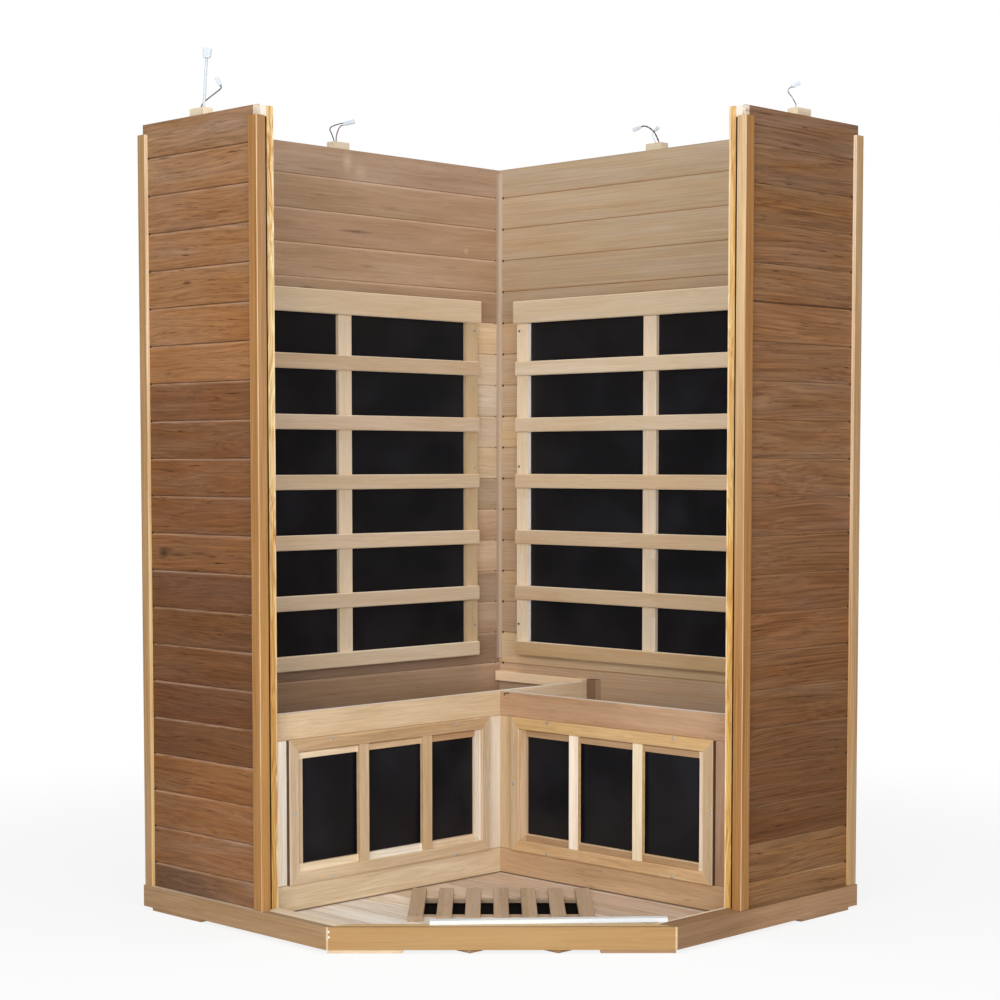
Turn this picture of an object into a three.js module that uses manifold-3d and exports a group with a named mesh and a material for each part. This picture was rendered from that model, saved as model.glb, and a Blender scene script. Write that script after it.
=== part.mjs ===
// Corner infrared sauna cabin part way through its assembly: base, walls, heaters and bench fronts.
// Millimetres, +Z up. The open front faces -Y.
import * as THREE from 'three';
import { mergeVertices } from 'three/addons/utils/BufferGeometryUtils.js';
import Module from 'manifold-3d';

const wasm = await Module();
wasm.setup();

// Clearance between pieces that rest on or butt against each other, and depth of a housed joint
const FIT = 0.3;
const LET_IN = 2;

// Base: a square plan with its front corner cut off
const BASE_EDGE = 1200;
const SIDE_EDGE = 661;
const PAD_H = 8;
const SKIRT_H = 50;
const SKIRT_T = 18;
const FRONT_RIM = 34;
const FLOOR_DROP = 26;
const FLOOR_PITCH = 88;
const FIRST_FLOOR_SEAM = 62;

// Feet and runners under the base
const PAD_W = 60;
const RUNNER_TO_PAD = 27;
const SIDE_PAD_L = 185;
const PAD_INSET = 4;
const SIDE_PAD_START = 30;
const RUNNER_W = 80;
const RUNNER_START = 150;
const LEFT_RUNNER_AT = 69;
const RIGHT_RUNNER_AT = 123;

// Wall panels: outer boards, core and lining
const WALL_H = 1783;
const OUTER_T = 9;
const CORE_T = 28;
const LINING_T = 9;
const OUTER_PITCH = 86.6;
const OUTER_TOP_BOARD = 80;
const LINING_PITCH = 83.3;
const LINING_TOP_BOARD = 75;
const GROOVE_W = 3;
const GROOVE_D = 2;

// Corner trims, front battens and the bead in the back corner
const TRIM_TO_EDGE = 2;
const TRIM_T = 10;
const TRIM_LEG = 28;
const TRIM_RETURN = 25;
const TRIM_DROP = 24;
const TRIM_R = 4;
const BATTEN_W = 19;
const BATTEN_D = 30;
const SHADOW_GAP_W = 8;
const SHADOW_GAP_D = 14;
const BEAD_W = 11;
const BEAD_R = 4;
const BEAD_ABOVE_BENCH = 40;
const BEAD_DROP = 10;

// Wall heaters and the slatted grilles over them
const HEATER_T = 10;
const SLAT_COUNT = 7;
const SLAT_PITCH = 148.7;
const SLAT_H = 37;
const SLAT_T = 15;
const SLAT_SHORT = 7.5;
const SLAT_R = 3;
const TOP_SLAT_H = 58;
const STILE_W = 42;
const STILE_T = 20;
const STILE_SHORT = 6;
const MULLION_W = 43;
const GRILLE_ABOVE_BENCH = 56;
const GRILLE_MARGINS = 152;
const LEFT_GRILLE_START = 103;
const RIGHT_GRILLE_START = 86;

// Bench fronts with their framed heaters
const BENCH_H = 458;
const BENCH_DEPTH = 340;
const BENCH_T = 18;
const BENCH_TO_BATTEN = 4;
const FRAME_FACE = 28;
const FRAME_T = 12;
const FRAME_R = 2;
const FRAME_START = 47;
const FRAME_END = 53;
const FRAME_LOW = 64;
const FRAME_TOP = 61;
const LINER_W = 17;
const LINER_T = 9;
const LINER_PROUD = 3;
const LINER_TUCK = 6;
const NEAR_PANE_W = 153;
const MIDDLE_PANE_W = 174;
const BAR_W = 30;
const BAR_T = 8;
const BENCH_HEATER_T = 6;
const CLEAT_H = 26;
const CLEAT_T = 20;
const CLEAT_START = 5;
const REST_RAISE = 6;
const POST_W = 31;

// Floor heater in its well, and the grate over it
const WELL_SIDE_LAP = 23;
const WELL_L = 205;
const WELL_FRONT_LAP = 48;
const WELL_D = 16;
const FLOOR_HEATER_T = 6;
const GRATE_COUNT = 7;
const GRATE_PITCH = 64.5;
const GRATE_SLAT_W = 35;
const GRATE_SLAT_T = 12;
const GRATE_SLAT_R = 2;
const GRATE_L = 320;
const GRATE_TO_BENCH = 45.5;
const GRATE_RAIL_W = 18;
const GRATE_RAIL_H = 7;

// Sill channel lying loose across the front rim
const SILL_L = 520;
const SILL_W = 21;
const SILL_H = 9;
const SILL_SKIN = 2;
const SILL_INSET = 18;
const SILL_BACK = 35;
const SILL_TURN = THREE.MathUtils.degToRad(3.3);

// Wire blocks on the wall tops, with their leads and plugs
const BLOCK_L = 50;
const BLOCK_H = 18;
const LEFT_BLOCK_AT = 228;
const RIGHT_BLOCK_AT = 224;
const BACK_LEFT_BLOCK_AT = 551;
const BACK_RIGHT_BLOCK_AT = 535;
const CABLE_D = 6;
const LEAD_D = 2.6;
const PAIR_D = 3.8;
const LEAD_SIDES = 8;
const LAMP_PLUG_L = 22;
const LAMP_PLUG_H = 19;
const PLUG_L = 20;
const PLUG_H = 9;
const WIDE_PLUG_L = 29;
const WIDE_PLUG_H = 10.5;
const PLUG_W = 8;
const PLUG_NECK = 4;
const PLUG_STEP = 1.2;

// Worked out from the sizes above
const WALL_INSET = TRIM_TO_EDGE + TRIM_T;
const WALL_T = LINING_T + CORE_T + OUTER_T;
const RIM_W = WALL_INSET + WALL_T;
const RIM_Z = PAD_H + SKIRT_H;
const FLOOR_Z = RIM_Z - FLOOR_DROP;
const WALL_Z = RIM_Z + FIT;
const FAR_INNER = BASE_EDGE - RIM_W;
const BENCH_FACE = RIM_W + BENCH_DEPTH;
const BENCH_BACK = BENCH_FACE - BENCH_T;
const BENCH_TOP = FLOOR_Z + BENCH_H;
const SIDE_WALL_L = BENCH_FACE + BENCH_TO_BATTEN + BATTEN_D - WALL_INSET;
const GRILLE_W = FAR_INNER - RIM_W - GRILLE_MARGINS;
const BENCH_REACH = FAR_INNER - FIT - BENCH_FACE;
const FRAME_L = BENCH_REACH - FRAME_START - FRAME_END;
const FRAME_H = BENCH_H - FRAME_LOW - FRAME_TOP;
const GRATE_HALF = ((GRATE_COUNT - 1) * GRATE_PITCH + GRATE_SLAT_W) / 2;
const PLAN_SUM = BASE_EDGE + SIDE_EDGE;
const BENCH_CORNER_BACK = (PLAN_SUM - 2 * BENCH_FACE) / Math.SQRT2;
const GRATE_FRONT = BENCH_CORNER_BACK - GRATE_HALF - GRATE_TO_BENCH - GRATE_L;
const WELL_FRONT = GRATE_FRONT + WELL_FRONT_LAP;
const WELL_W = 2 * (GRATE_HALF - WELL_SIDE_LAP);
const FRONT_HALF = (BASE_EDGE - SIDE_EDGE) / Math.SQRT2;

// Colour, roughness and metalness of each finish
const FINISH = {
  outerBoard: ['#8f6a49', 0.6, 0],
  lining: ['#b79776', 0.65, 0],
  paleWood: ['#d6bf9c', 0.65, 0],
  benchWood: ['#c6a176', 0.65, 0],
  goldWood: ['#d3a65c', 0.6, 0],
  skirtWood: ['#b48a58', 0.6, 0],
  floorWood: ['#d8c9b8', 0.7, 0],
  roughWood: ['#a98a66', 0.8, 0],
  heater: ['#1b1a1a', 0.35, 0],
  sill: ['#f0f4f5', 0.4, 0],
  plug: ['#eef0f0', 0.5, 0],
  whiteCable: ['#f2f2f2', 0.5, 0],
  blackWire: ['#2a2b2e', 0.5, 0],
  redWire: ['#8a3038', 0.5, 0],
};

// The cabin's own axes run along its two back walls: x to the left corner, y to the right corner
const sauna = new THREE.Group();
const cabin = new THREE.Group();
cabin.position.set(0, PLAN_SUM / Math.SQRT2 / 2, 0);
cabin.rotation.z = -0.75 * Math.PI;
sauna.add(cabin);

// The front edge's axes: x to the right along the edge, y inwards from it
const front = new THREE.Group();
front.position.set(PLAN_SUM / 2, PLAN_SUM / 2, 0);
front.rotation.z = 0.75 * Math.PI;
front.updateMatrix();
cabin.add(front);

function add(parent, name, finish, geometry) {
  const [color, roughness, metalness] = FINISH[finish];
  const mesh = new THREE.Mesh(geometry, new THREE.MeshStandardMaterial({ color, roughness, metalness }));
  mesh.name = name;
  parent.add(mesh);
  return mesh;
}

function addGroup(x, y, z, turn) {
  const group = new THREE.Group();
  group.position.set(x, y, z);
  group.rotation.z = turn;
  cabin.add(group);
  return group;
}

// Box between two corners
function box(x0, x1, y0, y1, z0, z1) {
  const geometry = new THREE.BoxGeometry(x1 - x0, y1 - y0, z1 - z0);
  geometry.translate((x0 + x1) / 2, (y0 + y1) / 2, (z0 + z1) / 2);
  return geometry;
}

function outline(points) {
  return new THREE.Shape(points.map(([x, y]) => new THREE.Vector2(x, y)));
}

function rectangle(x0, x1, y0, y1) {
  return [[x0, y0], [x1, y0], [x1, y1], [x0, y1]];
}

// Rectangle with rounded corners
function roundedRectangle(x0, x1, y0, y1, radius) {
  const shape = new THREE.Shape();
  shape.absarc(x1 - radius, y0 + radius, radius, -Math.PI / 2, 0, false);
  shape.absarc(x1 - radius, y1 - radius, radius, 0, Math.PI / 2, false);
  shape.absarc(x0 + radius, y1 - radius, radius, Math.PI / 2, Math.PI, false);
  shape.absarc(x0 + radius, y0 + radius, radius, Math.PI, 1.5 * Math.PI, false);
  return shape;
}

// Upright solid over a plan drawn in (x, y)
function prism(plan, z0, z1) {
  const options = { depth: z1 - z0, bevelEnabled: false, curveSegments: 3 };
  const geometry = new THREE.ExtrudeGeometry(plan, options);
  geometry.translate(0, 0, z0);
  return geometry;
}

// Standing slab over an elevation drawn in (x, z)
function slab(elevation, y0, y1) {
  const geometry = prism(elevation, -y1, -y0);
  geometry.rotateX(Math.PI / 2);
  return geometry;
}

// Bar along x over a section drawn in (y, z)
function bar(section, x0, x1) {
  const geometry = prism(section, x0, x1);
  const alongX = new THREE.Matrix4().makeBasis(
    new THREE.Vector3(0, 1, 0),
    new THREE.Vector3(0, 0, 1),
    new THREE.Vector3(1, 0, 0),
  );
  geometry.applyMatrix4(alongX);
  return geometry;
}

function toSolid(geometry) {
  const bare = geometry.clone();
  bare.deleteAttribute('normal');
  bare.deleteAttribute('uv');
  const merged = mergeVertices(bare, 1e-4);
  const vertProperties = new Float32Array(merged.attributes.position.array);
  const triVerts = new Uint32Array(merged.index.array);
  return new wasm.Manifold(new wasm.Mesh({ numProp: 3, vertProperties, triVerts }));
}

function toGeometry(solid) {
  const mesh = solid.getMesh();
  const geometry = new THREE.BufferGeometry();
  geometry.setAttribute('position', new THREE.BufferAttribute(mesh.vertProperties, 3));
  geometry.setIndex(new THREE.BufferAttribute(mesh.triVerts, 1));
  geometry.computeVertexNormals();
  return geometry;
}

function join(pieces) {
  return toGeometry(pieces.map(toSolid).reduce((whole, piece) => whole.add(piece)));
}

function cut(body, tools) {
  return toGeometry(tools.map(toSolid).reduce((rest, tool) => rest.subtract(tool), toSolid(body)));
}

function common(body, tool) {
  return toGeometry(toSolid(body).intersect(toSolid(tool)));
}

// Outline of a row of boards, flat at the back, with a V-groove in the face at each seam
function groovedBoards(width, back, face, seams) {
  const bottom = face + Math.sign(back - face) * GROOVE_D;
  const grooves = seams.flatMap((seam) => [
    [seam + GROOVE_W / 2, face],
    [seam, bottom],
    [seam - GROOVE_W / 2, face],
  ]);
  return [[0, back], [width, back], [width, face], ...grooves, [0, face]];
}

// Seams from a first one downwards, a pitch apart
function seamsDown(first, pitch) {
  const count = Math.ceil((first - GROOVE_W) / pitch);
  return Array.from({ length: count }, (_, i) => first - i * pitch);
}

// Corners of the base plan, each edge moved inwards by its own inset
function insetPlan(insets) {
  const corners = outline([
    [0, 0],
    [BASE_EDGE, 0],
    [BASE_EDGE, SIDE_EDGE],
    [SIDE_EDGE, BASE_EDGE],
    [0, BASE_EDGE],
  ]).getPoints();
  const edges = insets.map((inset, i) => {
    const along = corners[(i + 1) % insets.length].clone().sub(corners[i]).normalize();
    const inward = new THREE.Vector2(-along.y, along.x);
    return { along, inward, start: corners[i].clone().addScaledVector(inward, inset) };
  });
  const points = edges.map((edge, i) => {
    const before = edges.at(i - 1);
    const step = edge.start.clone().sub(before.start).cross(edge.along) / before.along.cross(edge.along);
    return before.start.clone().addScaledVector(before.along, step);
  });
  return { edges, points };
}

// Skirt boards with the ledge that the walls stand on, mitred where they meet
function addSkirts() {
  const names = ['back_left', 'left', 'front', 'right', 'back_right'];
  const ledges = names.map((name) => (name === 'front' ? FRONT_RIM : RIM_W));
  const outer = insetPlan(names.map(() => 0));
  const inner = insetPlan(ledges);
  names.forEach((name, i) => {
    const next = (i + 1) % names.length;
    const { along } = outer.edges[i];
    const length = outer.points[next].distanceTo(outer.points[i]);
    const startSlope = inner.points[i].clone().sub(outer.points[i]).dot(along) / ledges[i];
    const endSlope = outer.points[next].clone().sub(inner.points[next]).dot(along) / ledges[i];
    const section = outline([
      [0, PAD_H],
      [SKIRT_T, PAD_H],
      [SKIRT_T, FLOOR_Z + FIT],
      [ledges[i], FLOOR_Z + FIT],
      [ledges[i], RIM_Z],
      [0, RIM_Z],
    ]);
    const geometry = bar(section, 0, length);
    const corners = geometry.attributes.position;
    for (let k = 0; k < corners.count; k += 1) {
      const inwards = corners.getY(k);
      const atStart = corners.getX(k) < length / 2;
      corners.setX(k, atStart ? FIT + inwards * startSlope : length - FIT - inwards * endSlope);
    }
    const skirt = add(cabin, `base_skirt_${name}`, 'skirtWood', geometry);
    skirt.position.set(outer.points[i].x, outer.points[i].y, 0);
    skirt.rotation.z = along.angle();
  });
}

// Floor boards running beside the left wall, with a well for the heater, inside the skirts
function addFloor() {
  const { points } = insetPlan(new Array(5).fill(SKIRT_T + FIT));
  const lastSeam = FIRST_FLOOR_SEAM + Math.floor(FAR_INNER / FLOOR_PITCH) * FLOOR_PITCH;
  const seams = seamsDown(lastSeam, FLOOR_PITCH).filter((seam) => seam < FAR_INNER);
  const boards = bar(outline(groovedBoards(BASE_EDGE, PAD_H, FLOOR_Z, seams)), -BASE_EDGE, 0);
  boards.rotateZ(-Math.PI / 2);
  const wellBack = WELL_FRONT + WELL_L;
  const well = box(-WELL_W / 2, WELL_W / 2, WELL_FRONT, wellBack, FLOOR_Z - WELL_D, RIM_Z);
  well.applyMatrix4(front.matrix);
  const plan = prism(new THREE.Shape(points), 0, RIM_Z);
  add(cabin, 'floor_deck', 'floorWood', cut(common(boards, plan), [well]));

  const heaterZ = FLOOR_Z - WELL_D + FIT;
  const heaterTop = heaterZ + FLOOR_HEATER_T;
  const heaterHalf = WELL_W / 2 - FIT;
  const heater = box(-heaterHalf, heaterHalf, WELL_FRONT + FIT, wellBack - FIT, heaterZ, heaterTop);
  add(front, 'floor_heater', 'heater', heater);
}

// Grate of slats on the floor, with two rails that locate it in the well
function addGrate() {
  const top = FLOOR_Z + GRATE_SLAT_T;
  const pieces = [];
  for (let i = 0; i < GRATE_COUNT; i += 1) {
    const left = i * GRATE_PITCH - GRATE_HALF;
    const end = roundedRectangle(left, left + GRATE_SLAT_W, FLOOR_Z + FIT, top, GRATE_SLAT_R);
    pieces.push(slab(end, GRATE_FRONT, GRATE_FRONT + GRATE_L));
  }
  const railHalf = WELL_W / 2 - 2 * FIT;
  const railStarts = [WELL_FRONT + 2 * FIT, WELL_FRONT + WELL_L - 2 * FIT - GRATE_RAIL_W];
  railStarts.forEach((start) => {
    const railTop = FLOOR_Z + LET_IN;
    pieces.push(box(-railHalf, railHalf, start, start + GRATE_RAIL_W, FLOOR_Z - GRATE_RAIL_H, railTop));
  });
  add(front, 'floor_grate', 'paleWood', join(pieces));
}

// Pads and runners that the base stands on
function addFeet() {
  const top = PAD_H - FIT;
  const outer = FRONT_HALF - PAD_INSET;
  const inner = RIGHT_RUNNER_AT + PAD_INSET + PAD_W + RUNNER_TO_PAD;
  const frontPad = (x0, x1) => box(x0, x1, PAD_INSET, PAD_INSET + PAD_W, 0, top);
  add(front, 'foot_pad_front_left', 'roughWood', frontPad(-outer, -inner));
  add(front, 'foot_pad_front_right', 'roughWood', frontPad(inner, outer));

  const edge = BASE_EDGE - PAD_INSET;
  const padEnd = SIDE_PAD_START + SIDE_PAD_L;
  add(cabin, 'foot_pad_left', 'roughWood', box(edge - PAD_W, edge, SIDE_PAD_START, padEnd, 0, top));
  add(cabin, 'foot_pad_right', 'roughWood', box(SIDE_PAD_START, padEnd, edge - PAD_W, edge, 0, top));

  const frontLine = PLAN_SUM - PAD_INSET;
  const leftOuter = (frontLine + LEFT_RUNNER_AT * Math.SQRT2) / 2;
  const rightOuter = (frontLine + RIGHT_RUNNER_AT * Math.SQRT2) / 2;
  const leftEnd = frontLine - leftOuter;
  const rightEnd = frontLine - rightOuter;
  const inside = RUNNER_START + RUNNER_W;
  const runners = outline([
    [RUNNER_START, RUNNER_START],
    [leftOuter, RUNNER_START],
    [leftOuter, leftEnd],
    [leftOuter - RUNNER_W, leftEnd],
    [leftOuter - RUNNER_W, inside],
    [inside, inside],
    [inside, rightOuter - RUNNER_W],
    [rightEnd, rightOuter - RUNNER_W],
    [rightEnd, rightOuter],
    [RUNNER_START, rightOuter],
  ]);
  add(cabin, 'base_underframe', 'roughWood', prism(runners, 0, top));
}

// Sill channel, open underneath
function addSill() {
  const section = outline([
    [0, 0],
    [SILL_SKIN, 0],
    [SILL_SKIN, SILL_H - SILL_SKIN],
    [SILL_W - SILL_SKIN, SILL_H - SILL_SKIN],
    [SILL_W - SILL_SKIN, 0],
    [SILL_W, 0],
    [SILL_W, SILL_H],
    [0, SILL_H],
  ]);
  const sill = add(front, 'door_sill_strip', 'sill', bar(section, -SILL_L / 2, SILL_L / 2));
  sill.position.set(FRONT_HALF - SILL_INSET - SILL_L / 2, SILL_BACK, RIM_Z + FIT);
  sill.rotation.z = SILL_TURN;
}

// One wall panel: x along it, y outwards from the room, each layer from its own start to its own end,
// with the rebates that its core is cut with
function addLayers(wall, name, outerSpan, coreSpan, liningSpan, rebates = []) {
  const upright = (points) => outline(points.map(([z, y]) => [y, z]));
  const outerSeams = seamsDown(WALL_H - OUTER_TOP_BOARD, OUTER_PITCH);
  const outer = upright(groovedBoards(WALL_H, LINING_T + CORE_T + FIT, WALL_T, outerSeams));
  add(wall, `${name}_outer_boards`, 'outerBoard', bar(outer, ...outerSpan));

  const core = box(...coreSpan, LINING_T, LINING_T + CORE_T, 0, WALL_H);
  add(wall, `${name}_core`, 'paleWood', cut(core, rebates));

  const liningSeams = seamsDown(WALL_H - LINING_TOP_BOARD, LINING_PITCH);
  const lining = upright(groovedBoards(WALL_H, LINING_T - FIT, 0, liningSeams));
  add(wall, `${name}_lining`, 'lining', bar(lining, ...liningSpan));
}

// L-shaped trim round the outer corner at one end of a side wall; outward points off that end
function cornerTrim(end, outward) {
  const face = WALL_T + TRIM_T;
  const tip = end + outward * TRIM_T;
  const heel = end + outward * FIT;
  const legEnd = tip - outward * TRIM_LEG;
  const plan = new THREE.Shape();
  plan.moveTo(legEnd, face);
  plan.lineTo(legEnd, WALL_T + FIT);
  plan.lineTo(heel, WALL_T + FIT);
  plan.lineTo(heel, face - TRIM_RETURN);
  plan.lineTo(tip, face - TRIM_RETURN);
  plan.lineTo(tip, face - TRIM_R);
  plan.quadraticCurveTo(tip, face, tip - outward * TRIM_R, face);
  return prism(plan, 0, WALL_H - TRIM_DROP);
}

// Side wall with its two trims and the batten that finishes its front end; forward is the way to the front.
// The batten is let into the core, with a shadow gap between it and the front trim.
function addSideWall(side, wall, forward) {
  const frontEnd = forward > 0 ? SIDE_WALL_L : 0;
  const rearEnd = SIDE_WALL_L - frontEnd;
  const battenEnd = frontEnd - forward * BATTEN_D;
  const fromFront = (depth) => [frontEnd + forward * FIT, frontEnd - forward * depth].sort((p, q) => p - q);
  const gapTop = WALL_H - TRIM_DROP;
  const rebates = [
    box(...fromFront(BATTEN_D + FIT), LINING_T - FIT, BATTEN_W + FIT, -FIT, WALL_H + FIT),
    box(...fromFront(SHADOW_GAP_D), BATTEN_W, BATTEN_W + SHADOW_GAP_W, -FIT, gapTop),
  ];
  const span = [0, SIDE_WALL_L];
  const liningSpan = [battenEnd - forward * FIT, rearEnd].sort((p, q) => p - q);
  addLayers(wall, `${side}_wall`, span, span, liningSpan, rebates);
  add(wall, `front_corner_trim_${side}`, 'goldWood', cornerTrim(frontEnd, forward));
  add(wall, `rear_corner_trim_${side}`, 'goldWood', cornerTrim(rearEnd, -forward));
  const battenSpan = [frontEnd, battenEnd].sort((p, q) => p - q);
  const batten = box(...battenSpan, 0, BATTEN_W, 0, WALL_H);
  add(wall, `front_batten_${side}`, 'goldWood', batten);
}

// Bead in the back corner, above the seats
function addCornerBead() {
  const plan = outline([[BEAD_W, 0], [0, 0], [0, BEAD_W]]);
  plan.lineTo(BEAD_W - BEAD_R, BEAD_W);
  plan.quadraticCurveTo(BEAD_W, BEAD_W, BEAD_W, BEAD_W - BEAD_R);
  const geometry = prism(plan, BENCH_TOP + BEAD_ABOVE_BENCH, WALL_Z + WALL_H - BEAD_DROP);
  const bead = add(cabin, 'inner_corner_bead', 'goldWood', geometry);
  bead.position.set(RIM_W + FIT, RIM_W + FIT, 0);
}

// Flat heater on a back wall under a grille of slats housed into two stiles and a mullion
function addWallHeater(side, turn, middle) {
  const wall = addGroup(RIM_W, RIM_W, BENCH_TOP + GRILLE_ABOVE_BENCH, turn);
  const half = GRILLE_W / 2;
  const topMiddle = SLAT_H / 2 + (SLAT_COUNT - 1) * SLAT_PITCH;
  const high = topMiddle + TOP_SLAT_H / 2 - STILE_SHORT;
  const heaterHalf = half - STILE_W - FIT;
  const heater = box(middle - heaterHalf, middle + heaterHalf, -HEATER_T, -FIT, STILE_SHORT, high);
  add(wall, `wall_heater_${side}`, 'heater', heater);

  const mullionHalf = MULLION_W / 2;
  const pieces = [
    box(middle - half, middle - half + STILE_W, -STILE_T, -FIT, STILE_SHORT, high),
    box(middle + half - STILE_W, middle + half, -STILE_T, -FIT, STILE_SHORT, high),
    box(middle - mullionHalf, middle + mullionHalf, -STILE_T, -HEATER_T - FIT, STILE_SHORT, high),
  ];
  for (let i = 0; i < SLAT_COUNT; i += 1) {
    const isTop = i === SLAT_COUNT - 1;
    const height = isTop ? TOP_SLAT_H : SLAT_H;
    const reach = isTop ? half : half - SLAT_SHORT;
    const z = SLAT_H / 2 + i * SLAT_PITCH;
    const section = roundedRectangle(
      -STILE_T - SLAT_T, LET_IN - STILE_T, z - height / 2, z + height / 2, SLAT_R);
    pieces.push(bar(section, middle - reach, middle + reach));
  }
  add(wall, `wall_grille_${side}`, 'paleWood', join(pieces));
}

// Outline of the bench heater's frame, moved inwards
function frameOutline(middle, inset) {
  const half = FRAME_L / 2 - inset;
  return rectangle(middle - half, middle + half, FRAME_LOW + inset, FRAME_LOW + FRAME_H - inset);
}

function ring(outer, inner) {
  const shape = outline(outer);
  shape.holes.push(outline(inner));
  return shape;
}

// Moulding of (inset, depth) points carried round the frame's outline and mitred at its corners
function sweptFrame(middle, moulding) {
  const points = moulding.map(([inset, y]) => frameOutline(middle, inset).map(([x, z]) => [x, y, z]));
  const sides = points[0].length;
  const faces = moulding.flatMap((_, i) => points[i].flatMap((__, j) => {
    const [near, far] = [i, (i + 1) % moulding.length].map((level) => level * sides);
    const k = (j + 1) % sides;
    return [near + j, far + k, far + j, near + j, near + k, far + k];
  }));
  const geometry = new THREE.BufferGeometry();
  geometry.setAttribute('position', new THREE.Float32BufferAttribute(points.flat(2), 3));
  geometry.setIndex(faces);
  return geometry;
}

// Bench front with a window for its heater, and the frame, stepped liner and bars in front of it
function addBench(side, turn, panelSpan, middle) {
  const bench = addGroup(BENCH_FACE, BENCH_FACE, FLOOR_Z, turn);
  const tucked = FRAME_FACE - LINER_TUCK;
  const panel = ring(rectangle(...panelSpan, FIT, BENCH_H), frameOutline(middle, tucked - FIT));
  add(bench, `bench_front_${side}`, 'benchWood', slab(panel, 0, BENCH_T));

  const linerBack = LINER_T - LINER_PROUD;
  const heaterFront = linerBack + FIT;
  const heater = slab(outline(frameOutline(middle, tucked)), heaterFront, heaterFront + BENCH_HEATER_T);
  add(bench, `bench_heater_${side}`, 'heater', heater);

  const inner = FRAME_FACE + LINER_W;
  const pieces = [sweptFrame(middle, [
    [0, -FIT],
    [0, FRAME_R - FRAME_T],
    [FRAME_R, -FRAME_T],
    [FRAME_FACE - FRAME_R, -FRAME_T],
    [FRAME_FACE, FRAME_R - FRAME_T],
    [FRAME_FACE, -LINER_PROUD],
    [inner, -LINER_PROUD],
    [inner, linerBack],
    [tucked, linerBack],
    [tucked, -FIT],
  ])];
  const barLow = FRAME_LOW + FRAME_FACE - LET_IN;
  const barHigh = FRAME_LOW + FRAME_H - FRAME_FACE + LET_IN;
  const nearBar = FRAME_START + inner + NEAR_PANE_W + BAR_W / 2;
  [nearBar, nearBar + MIDDLE_PANE_W + BAR_W].forEach((fromCorner) => {
    const x = Math.sign(middle) * fromCorner;
    const barFront = -LINER_PROUD - BAR_T;
    pieces.push(box(x - BAR_W / 2, x + BAR_W / 2, barFront, LET_IN - LINER_PROUD, barLow, barHigh));
  });
  add(bench, `bench_heater_frame_${side}`, 'benchWood', join(pieces));
}

// Both bench fronts, with the seat's cleat and the guide post on the back-right wall
function addBenches() {
  const frameMiddle = FRAME_START + FRAME_L / 2;
  addBench('left', Math.PI, [-BENCH_REACH, BENCH_DEPTH - FIT], -frameMiddle);
  addBench('right', Math.PI / 2, [FIT, BENCH_REACH], frameMiddle);

  const wall = RIM_W + FIT;
  const restTop = BENCH_TOP + REST_RAISE;
  const cleatStart = RIM_W + CLEAT_START;
  const cleat = box(wall, wall + CLEAT_T, cleatStart, BENCH_BACK - FIT, restTop - CLEAT_H, restTop);
  add(cabin, 'bench_cleat', 'paleWood', cleat);
  const postStart = BENCH_FACE + FIT;
  const post = box(wall, wall + CLEAT_T, postStart, postStart + POST_W, FLOOR_Z + FIT, restTop);
  add(cabin, 'bench_guide_post', 'paleWood', post);
}

// Wood block on top of a wall's core; its leads are placed from the middle of its top
function addWireBlock(name, wall, x) {
  const bottom = WALL_H + FIT;
  const top = bottom + BLOCK_H;
  const block = box(x - BLOCK_L / 2, x + BLOCK_L / 2, LINING_T, LINING_T + CORE_T, bottom, top);
  add(wall, `wire_block_${name}`, 'paleWood', block);
  const blockTop = new THREE.Group();
  blockTop.position.copy(wall.localToWorld(new THREE.Vector3(x, LINING_T + CORE_T / 2, top)));
  sauna.add(blockTop);
  return blockTop;
}

// Lead that leaves its block straight up and then follows the given points
function addLead(blockTop, name, finish, diameter, points) {
  const [[x, y]] = points;
  const start = new THREE.Vector3(x, y, FIT);
  const route = new THREE.CatmullRomCurve3([start, ...points.map((point) => new THREE.Vector3(...point))]);
  const corners = Array.from({ length: LEAD_SIDES }, (_, i) => {
    const angle = (2 * Math.PI * i) / LEAD_SIDES;
    return [Math.cos(angle) * diameter / 2, Math.sin(angle) * diameter / 2];
  });
  const steps = Math.ceil(route.getLength() / (2 * diameter));
  const options = { steps, bevelEnabled: false, extrudePath: route };
  const tube = new THREE.ExtrudeGeometry(outline(corners), options);
  add(blockTop, name, finish, tube);
  return route;
}

// Plug housing with a narrower neck, square to the ends of its leads
function addPlug(blockTop, name, length, height, routes) {
  const middle = new THREE.Vector3();
  const direction = new THREE.Vector3();
  routes.forEach((route) => {
    middle.addScaledVector(route.getPoint(1), 1 / routes.length);
    direction.add(route.getTangent(1));
  });
  const half = height / 2;
  const neck = half - PLUG_STEP;
  const side = outline([
    [FIT, -neck],
    [PLUG_NECK, -neck],
    [PLUG_NECK, -half],
    [length, -half],
    [length, half],
    [PLUG_NECK, half],
    [PLUG_NECK, neck],
    [FIT, neck],
  ]);
  const plug = add(blockTop, name, 'plug', slab(side, -PLUG_W / 2, PLUG_W / 2));
  plug.position.copy(middle);
  plug.quaternion.setFromUnitVectors(new THREE.Vector3(1, 0, 0), direction.normalize());
}

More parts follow.
